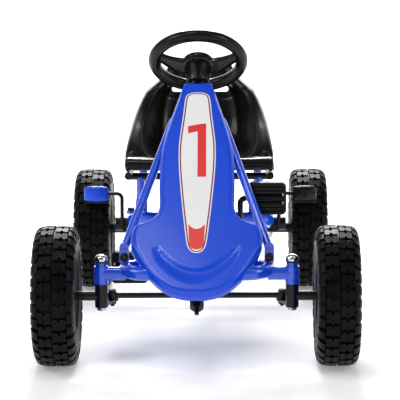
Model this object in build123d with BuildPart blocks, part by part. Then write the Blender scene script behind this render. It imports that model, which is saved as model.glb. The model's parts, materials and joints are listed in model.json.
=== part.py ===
from build123d import *
import math
import os

os.makedirs("parts", exist_ok=True)

# Pedal go kart, millimetres. The origin is on the floor in the middle of the footprint,
# -Y is forwards, +X is the driver's left and +Z is up.

# ---------------------------------------------------------------- driving sizes
wheelbase = 700.0
front_track = 516.0
rear_track = 469.0
tyre_dia = 260.0
tyre_width = 80.0
tyre_wall = 8.0
rim_dia = 102.0
rim_width = 56.0
hub_width = 50.0
hub_dia = 30.0

tube_dia = 25.0
tube_wall = 1.5
frame_height = 178.0
bow_half_width = 131.0
bow_setback = -35.0
bow_leg_end = 45.0
spine_dia = 32.0
spine_start = 84.0
tail_half_width = 147.0
tail_setback = -140.0
beam_dia = 30.0
beam_setback = -75.0
beam_height = 153.0
beam_half_length = 184.0

kingpin_half_track = 176.0
kingpin_dia = 10.0
stub_axle_dia = 12.0
steering_arm_length = 55.0
steering_arm_inset = 17.0
rear_axle_dia = 14.0

column_rake = 50.0
column_dia = 16.0
column_foot_height = 110.0
wheel_rim_dia = 198.0
wheel_grip_dia = 25.0
wheel_station = 549.0

crank_setback = 195.0
crank_height = 212.0
crank_throw = 77.0
crank_lean = 20.0
crank_half_width = 82.0
crank_rod_dia = 11.0
pedal_width = 72.0
pedal_height = 62.0
pedal_thickness = 22.0
pedal_centre = 134.0

chain_pitch = 12.7
chainring_teeth = 28
cog_teeth = 22
chain_line = 48.0

nose_slope = 41.1
nose_depth = 22.0
nose_wall = 3.0
nose_tip_setback = -100.0
nose_tip_height = 145.0

rail_half_width = 145.0
rail_dia = 15.0
rail_height = 288.0
rail_front = -272.0
rail_rear = -28.0
seat_width = 300.0

running_fit = 0.06
air_gap = 0.5

frame_bend = 45.0
brace_foot = 25.0
brace_top = 110.0
head_dia = 26.0
head_neck_dia = 21.0
head_bottom = 153.0
head_shoulder = 186.0
head_top = 196.0
head_stub_height = 172.0
kingpin_cap_dia = 25.0
kingpin_cap_height = 12.0

sleeve_dia = 26.0
sleeve_bottom = 385.0
sleeve_top = 462.0
strut_dia = 16.0
strut_bend = 30.0
strut_foot_outset = 3.0
strut_foot_setback = 15.5
strut_foot_height = 214.0
strut_knee_half_width = 47.0
strut_knee_setback = 250.0
strut_knee_height = 425.0
foot_plate_length = 30.0
foot_plate_width = 18.0
foot_plate_thickness = 3.5
strut_plate_rise = 12.0
foot_bolt_height = 200.0
foot_bolt_dia = 8.0
foot_nut_height = 5.0
foot_head_height = 6.0
strap_station = 8.0
strap_width = 26.0
strap_thickness = 4.0
stud_dia = 8.5
stud_top = 4.0
stud_bottom = -17.0
pitman_station = 52.0
pitman_throw = 28.0
pitman_thickness = 5.0
pitman_slot_half_width = 6.0
pitman_pin_dia = 5.0
pitman_pin_height = 25.0
wheel_pad_dia = 62.0
wheel_pad_back = 14.0
spoke_angles = (90, 192, -12)
spoke_width = 24.0
spoke_thickness = 10.0
boss_bottom = 500.0
boss_bottom_dia = 36.0
boss_top_dia = 50.0

knuckle_dia = 24.0
arm_bottom = 109.0
arm_thickness = 4.0
stub_shoulder_dia = 18.0
stub_axle_length = 118.0
tie_rod_dia = 11.0
tie_eye_dia = 18.0
tie_bolt_dia = 8.0
tie_nut_height = 6.0
open_pivot_play = 2.6
bush_dia = 22.0
bush_length = 10.0

carrier_x = 150.0
carrier_thickness = 6.0
bearing_dia = 32.0
bearing_proud = 1.5
collar_dia = 22.0
sprocket_thickness = 3.0
roller_dia = 7.8
chain_clear = 3.6
chain_inner = 3.0
chain_outer = 4.0
chain_width = 7.0
guard_inner = 8.0
guard_outer = 14.0
guard_width = 18.0
guard_wall = 2.0
hanger_half_width = 30.0
hanger_thickness = 5.0
hanger_length = 36.0
hanger_bush_dia = 17.0

nose_edge = 9.0
notch_gap = 1.5
panel_bottom = 105.0
panel_length = 400.0
panel_width = 72.0
panel_thickness = 0.6
pad_half_spacing = 55.0
pad_shift = 4.0
pad_depth = 12.0
hood_pad_v = 497.0
hood_pad_depth = 10.0

front_bar_setback = -200.0
rear_bar_setback = -75.0
upright_half_width = 124.0
upright_dia = 17.0
upright_pad_thickness = 6.0
post_half_width = 123.0
slide_top = 3.0
slide_width = 22.0
slide_length = 24.0
front_slide_setback = -160.0
rear_slide_setback = -76.0
bolster_inner = 108.0
cavity_depth = 15.0
slot_half_spacing = 44.0
slot_rise = 143.0
slot_length = 34.0
slot_width = 12.0

brake_setback = -110.0
brake_height = 144.0
grip_height = 224.0
arm_half_width = 168.0
brake_rod_dia = 8.0
brake_tab_x = 112.0
pad_gap = 5.0
pad_drop = -12.0
pad_height = 12.0
pad_thickness = 5.0
shoe_height = 34.0
shoe_thickness = 12.0

# ---------------------------------------------------------------- worked-out places
front_y = -wheelbase / 2
rear_y = wheelbase / 2
axle_z = tyre_dia / 2
tube_r = tube_dia / 2
rake = math.radians(column_rake)
column_axis = Vector(0, math.cos(rake), math.sin(rake))
column_foot = Vector(0, front_y, column_foot_height)
bow_y = front_y + bow_setback
tail_y = rear_y + tail_setback
beam_y = rear_y + beam_setback
crank_y = front_y + crank_setback
throw_y = crank_throw * math.sin(math.radians(crank_lean))
throw_z = crank_throw * math.cos(math.radians(crank_lean))
chainring_r = chain_pitch / (2 * math.sin(math.pi / chainring_teeth))
cog_r = chain_pitch / (2 * math.sin(math.pi / cog_teeth))
slope = math.radians(nose_slope)
nose_plane = Plane(
    origin=(0, front_y + nose_tip_setback, nose_tip_height),
    x_dir=(1, 0, 0),
    z_dir=(0, -math.sin(slope), math.cos(slope)),
)


def column_plane(station):
    """The plane square to the steering column, a distance up it; local Y runs down and rearwards."""
    return Plane(origin=column_foot + column_axis * station, x_dir=(1, 0, 0), z_dir=column_axis)


def tube_run(points, bend, dia, wall=0.0):
    """Sweep a round tube or rod along straight runs and bends, into the part being built."""
    with BuildLine() as path:
        if bend:
            FilletPolyline(*points, radius=bend)
        else:
            Polyline(*points)
    with BuildSketch(Plane(origin=path.line @ 0, z_dir=path.line % 0)) as section:
        Circle(dia / 2)
        if wall:
            Circle(dia / 2 - wall, mode=Mode.SUBTRACT)
    sweep(sections=section.sketch, path=path.line)


def disc(plane, radius, start, end, mode=Mode.ADD):
    """A round boss, pin or hole along a plane's normal, into the part being built."""
    with BuildSketch(plane.offset(start)) as section:
        Circle(radius)
    extrude(section.sketch, amount=end - start, mode=mode)


def finish(part, label):
    """Name a piece and write it."""
    part.label = label
    export_step(part, f"parts/{label}.step")


sides = {"left": 1, "right": -1}

# ---------------------------------------------------------------- frame
def bow_run(wall, dia=tube_dia):
    """The front bow's bent tube; without a wall it is the envelope that other tubes are coped to."""
    leg_y = front_y + bow_leg_end
    tube_run(
        [
            (-bow_half_width, leg_y, frame_height),
            (-bow_half_width, bow_y, frame_height),
            (bow_half_width, bow_y, frame_height),
            (bow_half_width, leg_y, frame_height),
        ],
        frame_bend,
        dia,
        wall,
    )


def tail_run(wall):
    """The rear bow's bent tube, whose legs drop to the rear beam."""
    tube_run(
        [
            (-tail_half_width, beam_y, beam_height),
            (-tail_half_width, tail_y, frame_height),
            (tail_half_width, tail_y, frame_height),
            (tail_half_width, beam_y, beam_height),
        ],
        frame_bend,
        tube_dia,
        wall,
    )


with BuildPart() as bow_envelope:
    bow_run(0)
with BuildPart() as tail_envelope:
    tail_run(0)
beam_plane = Plane(origin=(0, beam_y, beam_height), x_dir=(0, 1, 0), z_dir=(1, 0, 0))
spine_plane = Plane(origin=(0, front_y + spine_start, frame_height), x_dir=(1, 0, 0), z_dir=(0, 1, 0))
spine_length = tail_y - front_y - spine_start

with BuildPart() as front_bow:
    bow_run(tube_wall)
finish(front_bow.part, "front_bow_tube")

with BuildPart() as rear_bow:
    tail_run(tube_wall)
    disc(beam_plane, beam_dia / 2, -beam_half_length, beam_half_length, Mode.SUBTRACT)
finish(rear_bow.part, "rear_bow_tube")

with BuildPart() as spine:
    with BuildSketch(spine_plane):
        Circle(spine_dia / 2)
        Circle(spine_dia / 2 - tube_wall, mode=Mode.SUBTRACT)
    extrude(amount=spine_length)
    disc(spine_plane, spine_dia / 2 - tube_wall / 2, 0, tube_wall)
    add(tail_envelope.part, mode=Mode.SUBTRACT)
finish(spine.part, "spine_tube")

with BuildPart() as rear_beam:
    with BuildSketch(beam_plane.offset(-beam_half_length)):
        Circle(beam_dia / 2)
        Circle(beam_dia / 2 - tube_wall, mode=Mode.SUBTRACT)
    extrude(amount=2 * beam_half_length)
    for end in (-beam_half_length, beam_half_length - tube_wall):
        disc(beam_plane, beam_dia / 2 - tube_wall / 2, end, end + tube_wall)
finish(rear_beam.part, "rear_beam")

with BuildPart() as braces:
    for s in sides.values():
        tube_run(
            [
                (s * bow_half_width, front_y + brace_foot, frame_height),
                (0, front_y + brace_top, frame_height),
            ],
            0,
            tube_dia,
            tube_wall,
        )
    add(bow_envelope.part, mode=Mode.SUBTRACT)
    disc(spine_plane, spine_dia / 2, 0, spine_length, Mode.SUBTRACT)
finish(braces.part, "brace_tubes")

with BuildPart() as steering_heads:
    for s in sides.values():
        pin_plane = Plane(origin=(s * kingpin_half_track, front_y, 0))
        stub_plane = Plane(
            origin=(s * bow_half_width, front_y, head_stub_height), x_dir=(0, 1, 0), z_dir=(s, 0, 0)
        )
        disc(pin_plane, head_dia / 2, head_bottom, head_shoulder)
        disc(pin_plane, head_neck_dia / 2, head_shoulder, head_top)
        disc(stub_plane, tube_r, 0, kingpin_half_track - bow_half_width)
        disc(pin_plane, kingpin_dia / 2 + running_fit, head_bottom, head_top, Mode.SUBTRACT)
    add(bow_envelope.part, mode=Mode.SUBTRACT)
finish(steering_heads.part, "steering_heads")

# ---------------------------------------------------------------- steering column and its struts
with BuildPart() as column_sleeve:
    disc(column_plane(0), sleeve_dia / 2, sleeve_bottom, sleeve_top)
    disc(column_plane(0), column_dia / 2 + running_fit, sleeve_bottom, sleeve_top, Mode.SUBTRACT)
finish(column_sleeve.part, "column_sleeve")

foot_x = bow_half_width + strut_foot_outset
foot_y = front_y + strut_foot_setback
strut_end = column_foot + column_axis * (sleeve_top - sleeve_dia)


def strut_run(s, dia, wall):
    """One nose strut's tube, from its foot on the bow to the column sleeve."""
    tube_run(
        [
            (s * foot_x, foot_y + strut_dia / 2, strut_foot_height),
            (s * strut_knee_half_width, front_y + strut_knee_setback, strut_knee_height),
            (0, strut_end.Y, strut_end.Z),
        ],
        strut_bend,
        dia,
        wall,
    )


with BuildPart() as struts:
    for s in sides.values():
        strut_run(s, strut_dia, tube_wall)
        foot_plane = Plane(origin=(s * foot_x, foot_y, foot_bolt_height), x_dir=(1, 0, 0), z_dir=(0, 1, 0))
        plate_height = foot_bolt_height + strut_plate_rise / 2
        plate_plane = Plane(origin=(s * foot_x, foot_y, plate_height), x_dir=(1, 0, 0), z_dir=(0, 1, 0))
        with BuildSketch(plate_plane):
            SlotOverall(foot_plate_length + strut_plate_rise, foot_plate_width, rotation=90)
        extrude(amount=foot_plate_thickness)
        disc(foot_plane, foot_bolt_dia / 2, -1, 30, Mode.SUBTRACT)
    disc(column_plane(0), sleeve_dia / 2, sleeve_bottom - 60, sleeve_top + 60, Mode.SUBTRACT)
    add(bow_envelope.part, mode=Mode.SUBTRACT)
finish(struts.part, "nose_struts")

with BuildPart() as frame_bolts:
    for s in sides.values():
        bolt_plane = Plane(origin=(s * foot_x, foot_y, foot_bolt_height), x_dir=(1, 0, 0), z_dir=(0, -1, 0))
        disc(bolt_plane, foot_bolt_dia / 2, -foot_plate_thickness - foot_nut_height, foot_plate_thickness)
        disc(bolt_plane, foot_bolt_dia, foot_plate_thickness, foot_plate_thickness + foot_head_height)
        with BuildSketch(bolt_plane.offset(-foot_plate_thickness)):
            RegularPolygon(radius=foot_bolt_dia * 0.9, side_count=6)
        extrude(amount=-foot_nut_height)
    fillet(frame_bolts.edges().filter_by(GeomType.CIRCLE).sort_by(Axis.Y)[:2], foot_head_height * 0.8)
    for s in sides.values():
        with BuildSketch(Plane.XY.offset(frame_height + tube_r - 3 + upright_pad_thickness)):
            with Locations((s * tail_half_width, tail_y - 2)):
                RegularPolygon(radius=7, side_count=6)
        extrude(amount=6)
finish(frame_bolts.part, "frame_bolts")

strap_plane = column_plane(strap_station)
with BuildPart() as column_strap:
    strap_near = strap_plane.from_local_coords((0, strap_width / 2, 0))
    strap_far = strap_plane.from_local_coords((0, -strap_width / 2, 0))
    with BuildSketch(Plane.YZ) as strap_side:
        with BuildLine():
            Polyline((strap_near.Y, strap_near.Z), (strap_far.Y, strap_far.Z), (bow_y, frame_height))
        trace(line_width=strap_thickness)
    extrude(amount=strap_width / 2, both=True)
    disc(strap_plane, column_dia / 2 + running_fit, -8, 8, Mode.SUBTRACT)
    add(bow_envelope.part, mode=Mode.SUBTRACT)
finish(column_strap.part, "column_strap")

with BuildPart() as steering_column:
    disc(column_plane(0), column_dia / 2, stud_top, wheel_station - wheel_pad_back)
    disc(column_plane(0), stud_dia / 2, stud_bottom, stud_top)
finish(steering_column.part, "steering_column")

with BuildPart() as pitman_arm:
    pitman_plane = column_plane(pitman_station - pitman_thickness / 2)
    with BuildSketch(pitman_plane):
        Circle(column_dia / 2 + 5)
        with Locations((0, pitman_throw / 2 + 2)):
            Rectangle(20, pitman_throw + 8)
        Circle(column_dia / 2, mode=Mode.SUBTRACT)
        with Locations((0, pitman_throw + 4)):
            Rectangle(2 * pitman_slot_half_width, 24, mode=Mode.SUBTRACT)
    extrude(amount=pitman_thickness)
finish(pitman_arm.part, "pitman_arm")

hub_plane = column_plane(wheel_station)
with BuildPart() as steering_wheel:
    with BuildSketch(Plane(origin=hub_plane.origin, x_dir=(1, 0, 0), z_dir=hub_plane.y_dir)):
        with Locations(((wheel_rim_dia - wheel_grip_dia) / 2, 0)):
            Circle(wheel_grip_dia / 2)
    revolve(axis=Axis(hub_plane.origin, hub_plane.z_dir))
    disc(hub_plane, wheel_pad_dia / 2, -wheel_pad_back, 4)
    with BuildSketch(hub_plane.offset(-12)):
        for angle in spoke_angles:
            with PolarLocations(wheel_rim_dia / 4 - 2, 1, start_angle=angle):
                Rectangle(wheel_rim_dia / 2 - 14, spoke_width)
    extrude(amount=spoke_thickness)
finish(steering_wheel.part, "steering_wheel")

with BuildPart() as wheel_boss:
    with BuildSketch(column_plane(boss_bottom)):
        Circle(boss_bottom_dia / 2)
    with BuildSketch(column_plane(wheel_station - wheel_pad_back)):
        Circle(boss_top_dia / 2)
    loft()
    disc(column_plane(0), column_dia / 2, boss_bottom, wheel_station - wheel_pad_back, Mode.SUBTRACT)
finish(wheel_boss.part, "steering_wheel_boss")

with BuildPart() as column_nuts:
    disc(hub_plane, 14, 4, 7)
    with BuildSketch(hub_plane.offset(7)):
        RegularPolygon(radius=9, side_count=6)
    extrude(amount=5)
    with BuildSketch(column_plane(stud_top - 1)):
        RegularPolygon(radius=12.5, side_count=6)
        Circle(stud_dia / 2, mode=Mode.SUBTRACT)
    extrude(amount=-9)
finish(column_nuts.part, "column_nuts")

# ---------------------------------------------------------------- knuckles, kingpins and tie rod
shoulder_length = front_track / 2 - hub_width / 2 - kingpin_half_track - air_gap
for side, s in sides.items():
    pin_plane = Plane(origin=(s * kingpin_half_track, front_y, 0))
    stub_plane = Plane(
        origin=(s * kingpin_half_track, front_y, axle_z), x_dir=(0, 1, 0), z_dir=(s, 0, 0)
    )
    eye_x = s * (kingpin_half_track - steering_arm_inset)
    eye_y = front_y + steering_arm_length
    eye_bore = tie_bolt_dia / 2 + (running_fit if side == "left" else open_pivot_play)
    with BuildPart() as knuckle:
        disc(pin_plane, knuckle_dia / 2, arm_bottom, head_bottom - air_gap)
        disc(stub_plane, stub_axle_dia / 2, 0, stub_axle_length)
        disc(stub_plane, stub_shoulder_dia / 2, 0, shoulder_length)
        with BuildSketch(Plane.XY.offset(arm_bottom)):
            with BuildLine():
                arm_line = Line((s * kingpin_half_track, front_y), (eye_x, eye_y))
            trace(line_width=16)
            with Locations((eye_x, eye_y)):
                Circle(tie_eye_dia / 2 + 2)
        extrude(amount=arm_thickness)
        disc(pin_plane, kingpin_dia / 2, arm_bottom, head_bottom, Mode.SUBTRACT)
        disc(Plane(origin=(eye_x, eye_y, 0)), eye_bore, arm_bottom, arm_bottom + arm_thickness, Mode.SUBTRACT)
    finish(knuckle.part, f"{side}_knuckle")

    with BuildPart() as kingpin:
        disc(pin_plane, kingpin_dia / 2, arm_bottom - 7, head_top + air_gap)
        disc(pin_plane, kingpin_cap_dia / 2, head_top + air_gap, head_top + air_gap + kingpin_cap_height)
        fillet(kingpin.edges().filter_by(GeomType.CIRCLE).sort_by(Axis.Z)[-1], kingpin_cap_height * 0.75)
        with BuildSketch(pin_plane.offset(arm_bottom)):
            RegularPolygon(radius=9.5, side_count=6)
        extrude(amount=-6)
        nut_x = front_track / 2 - kingpin_half_track + hub_width / 2 + air_gap
        with BuildSketch(stub_plane.offset(nut_x)):
            RegularPolygon(radius=10.5, side_count=6)
            Circle(stub_axle_dia / 2, mode=Mode.SUBTRACT)
        extrude(amount=stub_axle_length - nut_x - 2)
    finish(kingpin.part, f"{side}_kingpin_and_nut")

tie_y = front_y + steering_arm_length
tie_z = arm_bottom + arm_thickness + air_gap + tie_rod_dia / 2
tie_half = kingpin_half_track - steering_arm_inset
tie_plane = Plane(origin=(0, tie_y, tie_z), x_dir=(0, 1, 0), z_dir=(1, 0, 0))
with BuildPart() as tie_rod:
    disc(tie_plane, tie_rod_dia / 2, -tie_half, tie_half)
    for x in (-tie_half, 0, tie_half):
        disc(Plane(origin=(x, tie_y, tie_z)), tie_eye_dia / 2, -tie_rod_dia / 2, tie_rod_dia / 2)
    for x in (-tie_half, tie_half):
        disc(Plane(origin=(x, tie_y, tie_z)), tie_bolt_dia / 2, -tie_rod_dia, tie_rod_dia, Mode.SUBTRACT)
    disc(Plane(origin=(0, tie_y, tie_z)), pitman_pin_dia / 2, -tie_rod_dia, tie_rod_dia, Mode.SUBTRACT)
finish(tie_rod.part, "tie_rod")

with BuildPart() as tie_bolts:
    for x in (-tie_half, tie_half):
        bolt_plane = Plane(origin=(x, tie_y, tie_z))
        disc(bolt_plane, tie_bolt_dia / 2, arm_bottom - tie_z - 10, tie_rod_dia / 2)
        for nut_start in (tie_rod_dia / 2, arm_bottom - tie_z - air_gap - tie_nut_height):
            with BuildSketch(bolt_plane.offset(nut_start)):
                RegularPolygon(radius=tie_bolt_dia * 0.9, side_count=6)
            extrude(amount=tie_nut_height)
    disc(Plane(origin=(0, tie_y, tie_z)), pitman_pin_dia / 2, -tie_rod_dia / 2, pitman_pin_height)
finish(tie_bolts.part, "tie_rod_bolts")

# ---------------------------------------------------------------- road wheels
wheel_planes = {
    "left_front": Plane(origin=(front_track / 2, front_y, axle_z), x_dir=(0, 1, 0), z_dir=(1, 0, 0)),
    "right_front": Plane(origin=(-front_track / 2, front_y, axle_z), x_dir=(0, 1, 0), z_dir=(1, 0, 0)),
    "left_rear": Plane(origin=(rear_track / 2, rear_y, axle_z), x_dir=(0, 1, 0), z_dir=(1, 0, 0)),
    "right_rear": Plane(origin=(-rear_track / 2, rear_y, axle_z), x_dir=(0, 1, 0), z_dir=(1, 0, 0)),
}
wheel_bore = {
    "left_front": stub_axle_dia / 2 + running_fit,
    "right_front": stub_axle_dia / 2 + running_fit,
    "right_rear": rear_axle_dia / 2 + running_fit,
}
driven_corner = "left_rear"
for corner, plane in wheel_planes.items():
    hub_bore = rear_axle_dia if corner == driven_corner else bush_dia
    section_plane = Plane(origin=plane.origin, x_dir=(1, 0, 0), z_dir=(0, -1, 0))
    spin = Axis(plane.origin, plane.z_dir)
    half = tyre_width / 2
    bead = rim_width / 2 - 2
    with BuildPart() as tyre:
        with BuildSketch(section_plane):
            with BuildLine():
                Polyline(
                    (-bead, rim_dia / 2),
                    (-bead, rim_dia / 2 + 7),
                    (-half, rim_dia / 2 + 26),
                    (-half, tyre_dia / 2 - 28),
                    (-half + 8, tyre_dia / 2 - 10),
                    (-half + 20, tyre_dia / 2),
                    (half - 20, tyre_dia / 2),
                    (half - 8, tyre_dia / 2 - 10),
                    (half, tyre_dia / 2 - 28),
                    (half, rim_dia / 2 + 26),
                    (bead, rim_dia / 2 + 7),
                    (bead, rim_dia / 2),
                    (bead - tyre_wall, rim_dia / 2),
                    (half - tyre_wall, rim_dia / 2 + 28),
                    (half - tyre_wall, tyre_dia / 2 - 30),
                    (half - 22, tyre_dia / 2 - tyre_wall),
                    (-half + 22, tyre_dia / 2 - tyre_wall),
                    (-half + tyre_wall, tyre_dia / 2 - 30),
                    (-half + tyre_wall, rim_dia / 2 + 28),
                    (-bead + tyre_wall, rim_dia / 2),
                    close=True,
                )
            make_face()
        revolve(axis=spin)
    finish(tyre.part, f"{corner}_tyre")

    with BuildPart() as rim:
        with BuildSketch(section_plane):
            with BuildLine():
                Polyline(
                    (-rim_width / 2, rim_dia / 2 + 6),
                    (-rim_width / 2 + 2, rim_dia / 2 + 6),
                    (-rim_width / 2 + 2, rim_dia / 2),
                    (rim_width / 2 - 2, rim_dia / 2),
                    (rim_width / 2 - 2, rim_dia / 2 + 6),
                    (rim_width / 2, rim_dia / 2 + 6),
                    (rim_width / 2, rim_dia / 2 - 2),
                    (10, rim_dia / 2 - 8),
                    (3, hub_dia / 2 + 6),
                    (3, hub_dia / 2),
                    (hub_width / 2, hub_dia / 2),
                    (hub_width / 2, hub_bore / 2),
                    (-hub_width / 2, hub_bore / 2),
                    (-hub_width / 2, hub_dia / 2),
                    (-3, hub_dia / 2),
                    (-3, hub_dia / 2 + 6),
                    (-10, rim_dia / 2 - 8),
                    (-rim_width / 2, rim_dia / 2 - 2),
                    close=True,
                )
            make_face()
        revolve(axis=spin)
    finish(rim.part, f"{corner}_rim")

    if corner == driven_corner:
        continue
    with BuildPart() as bushes:
        for end in (-hub_width / 2, hub_width / 2 - bush_length):
            disc(plane, bush_dia / 2, end, end + bush_length)
        disc(plane, wheel_bore[corner], -hub_width, hub_width, Mode.SUBTRACT)
    finish(bushes.part, f"{corner}_bushes")

# ---------------------------------------------------------------- rear axle and chain drive
with BuildPart() as rear_axle:
    axle_plane = Plane(origin=(0, rear_y, axle_z), x_dir=(0, 1, 0), z_dir=(1, 0, 0))
    axle_half = rear_track / 2 + hub_width / 2 + 12
    disc(axle_plane, rear_axle_dia / 2, -axle_half, axle_half)
    for s in sides.values():
        collar_plane = Plane(origin=(0, rear_y, axle_z), x_dir=(0, 1, 0), z_dir=(s, 0, 0))
        collar_start = carrier_x + carrier_thickness + bearing_proud + air_gap
        disc(collar_plane, collar_dia / 2, collar_start, rear_track / 2 - hub_width / 2 - air_gap)
finish(rear_axle.part, "rear_axle")

with BuildPart() as rear_nuts:
    for s in sides.values():
        nut_plane = Plane(origin=(0, rear_y, axle_z), x_dir=(0, 1, 0), z_dir=(s, 0, 0))
        with BuildSketch(nut_plane.offset(rear_track / 2 + hub_width / 2 + air_gap)):
            RegularPolygon(radius=11.5, side_count=6)
            Circle(rear_axle_dia / 2, mode=Mode.SUBTRACT)
        extrude(amount=9)
finish(rear_nuts.part, "rear_axle_nuts")

with BuildPart() as carriers:
    for s in sides.values():
        carrier_plane = Plane(origin=(s * carrier_x, 0, 0), x_dir=(0, s, 0), z_dir=(s, 0, 0))
        with BuildSketch(carrier_plane):
            with Locations((s * beam_y, beam_height)):
                Circle(beam_dia / 2 + 6)
            with Locations((s * rear_y, axle_z)):
                Circle(bearing_dia / 2 + 5)
            make_hull()
            with Locations((s * beam_y, beam_height)):
                Circle(beam_dia / 2, mode=Mode.SUBTRACT)
            with Locations((s * rear_y, axle_z)):
                Circle(bearing_dia / 2, mode=Mode.SUBTRACT)
        extrude(amount=carrier_thickness)
    add(tail_envelope.part, mode=Mode.SUBTRACT)
finish(carriers.part, "axle_carriers")

with BuildPart() as axle_bearings:
    for s in sides.values():
        ring_plane = Plane(origin=(s * carrier_x, rear_y, axle_z), x_dir=(0, 1, 0), z_dir=(s, 0, 0))
        disc(ring_plane, bearing_dia / 2, -bearing_proud, carrier_thickness + bearing_proud)
        disc(ring_plane, rear_axle_dia / 2 + running_fit, -20, 20, Mode.SUBTRACT)
finish(axle_bearings.part, "axle_bearings")


def toothed_wheel(plane, radius, teeth, bore):
    """A chain wheel cut with one round gullet for each roller, into the part being built."""
    with BuildSketch(plane.offset(-sprocket_thickness / 2)) as blank:
        Circle(radius - chain_clear)
        with PolarLocations(radius, teeth):
            Circle(roller_dia / 2, mode=Mode.SUBTRACT)
        Circle(bore, mode=Mode.SUBTRACT)
        with PolarLocations(radius * 0.6, 5):
            Circle(radius * 0.17, mode=Mode.SUBTRACT)
    extrude(blank.sketch, amount=sprocket_thickness)


crank_plane = Plane(origin=(0, crank_y, crank_height), x_dir=(0, 1, 0), z_dir=(1, 0, 0))
axle_plane = Plane(origin=(0, rear_y, axle_z), x_dir=(0, 1, 0), z_dir=(1, 0, 0))
with BuildPart() as chainring:
    toothed_wheel(crank_plane.offset(chain_line), chainring_r, chainring_teeth, crank_rod_dia / 2)
    disc(crank_plane, crank_rod_dia / 2 + 6, chain_line - 6, chain_line - sprocket_thickness / 2)
    disc(crank_plane, crank_rod_dia / 2, chain_line - 8, chain_line + 8, Mode.SUBTRACT)
finish(chainring.part, "chainring")

with BuildPart() as rear_cog:
    toothed_wheel(axle_plane.offset(chain_line), cog_r, cog_teeth, rear_axle_dia / 2)
    disc(axle_plane, rear_axle_dia / 2 + 7, chain_line - 8, chain_line - sprocket_thickness / 2)
    disc(axle_plane, rear_axle_dia / 2, chain_line - 9, chain_line + 9, Mode.SUBTRACT)
finish(rear_cog.part, "rear_cog")


def belt_outline(grow, mode=Mode.ADD):
    """The outline round both chain wheels, grown by a margin, into the sketch being drawn."""
    with BuildSketch(Plane.XY, mode=Mode.PRIVATE) as outline:
        with Locations((crank_y, crank_height)):
            Circle(chainring_r + grow)
        with Locations((rear_y, axle_z)):
            Circle(cog_r + grow)
        make_hull()
    add(outline.sketch, mode=mode)


chain_plane = Plane(origin=(chain_line, 0, 0), x_dir=(0, 1, 0), z_dir=(1, 0, 0))
with BuildPart() as chain:
    with BuildSketch(chain_plane):
        belt_outline(chain_outer)
        belt_outline(-chain_inner, Mode.SUBTRACT)
    extrude(amount=chain_width / 2, both=True)
finish(chain.part, "chain")

with BuildPart() as chain_guard:
    with BuildSketch(chain_plane):
        belt_outline(guard_outer)
        belt_outline(-guard_inner, Mode.SUBTRACT)
    extrude(amount=guard_width / 2, both=True)
    with BuildSketch(chain_plane):
        belt_outline(guard_outer - guard_wall)
        belt_outline(-guard_inner - 1, Mode.SUBTRACT)
    extrude(amount=guard_width / 2 - guard_wall, both=True, mode=Mode.SUBTRACT)
finish(chain_guard.part, "chain_guard")

# ---------------------------------------------------------------- pedals
with BuildPart() as spine_brackets:
    with BuildSketch(Plane(origin=(0, crank_y, 0), x_dir=(1, 0, 0), z_dir=(0, -1, 0))):
        with BuildLine():
            Polyline(
                (-hanger_half_width, crank_height + 12),
                (-hanger_half_width, frame_height + spine_dia / 2 - 2),
                (hanger_half_width, frame_height + spine_dia / 2 - 2),
                (hanger_half_width, crank_height + 12),
            )
        trace(line_width=hanger_thickness)
    extrude(amount=hanger_length / 2, both=True)
    disc(crank_plane, hanger_bush_dia / 2, -50, 50, Mode.SUBTRACT)
    bracket_y = (crank_y + tail_y) / 2
    run = (bracket_y - crank_y) / (rear_y - crank_y)
    low_z = crank_height + (axle_z - crank_height) * run
    low_z = low_z - (chainring_r + (cog_r - chainring_r) * run)
    with BuildSketch(Plane.XZ.offset(-bracket_y)):
        with BuildLine():
            Polyline((0, frame_height), (spine_dia / 2 + 6, low_z), (chain_line - guard_width / 2, low_z))
        trace(line_width=4)
    extrude(amount=9, both=True)
    with BuildSketch(chain_plane):
        Rectangle(2 * wheelbase, 2 * wheelbase)
    extrude(amount=guard_width / 2, both=True, mode=Mode.SUBTRACT)
    disc(spine_plane, spine_dia / 2, 0, spine_length, Mode.SUBTRACT)
finish(spine_brackets.part, "spine_brackets")

with BuildPart() as crank_bushes:
    for x in (-hanger_half_width, hanger_half_width):
        disc(crank_plane, hanger_bush_dia / 2, x - hanger_thickness / 2, x + hanger_thickness / 2)
    disc(crank_plane, crank_rod_dia / 2 + running_fit, -50, 50, Mode.SUBTRACT)
finish(crank_bushes.part, "crank_bushes")

raised_pedal_y = crank_y - throw_y
raised_pedal_z = crank_height + throw_z
lowered_pedal_y = crank_y + throw_y
lowered_pedal_z = crank_height - throw_z
with BuildPart() as pedal_crank:
    tube_run(
        [
            (-pedal_centre - pedal_width / 2 + 3, lowered_pedal_y, lowered_pedal_z),
            (-crank_half_width, lowered_pedal_y, lowered_pedal_z),
            (-crank_half_width, crank_y, crank_height),
            (crank_half_width, crank_y, crank_height),
            (crank_half_width, raised_pedal_y, raised_pedal_z),
            (pedal_centre + pedal_width / 2 - 3, raised_pedal_y, raised_pedal_z),
        ],
        crank_rod_dia * 1.1,
        crank_rod_dia,
    )
finish(pedal_crank.part, "pedal_crank")

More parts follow.
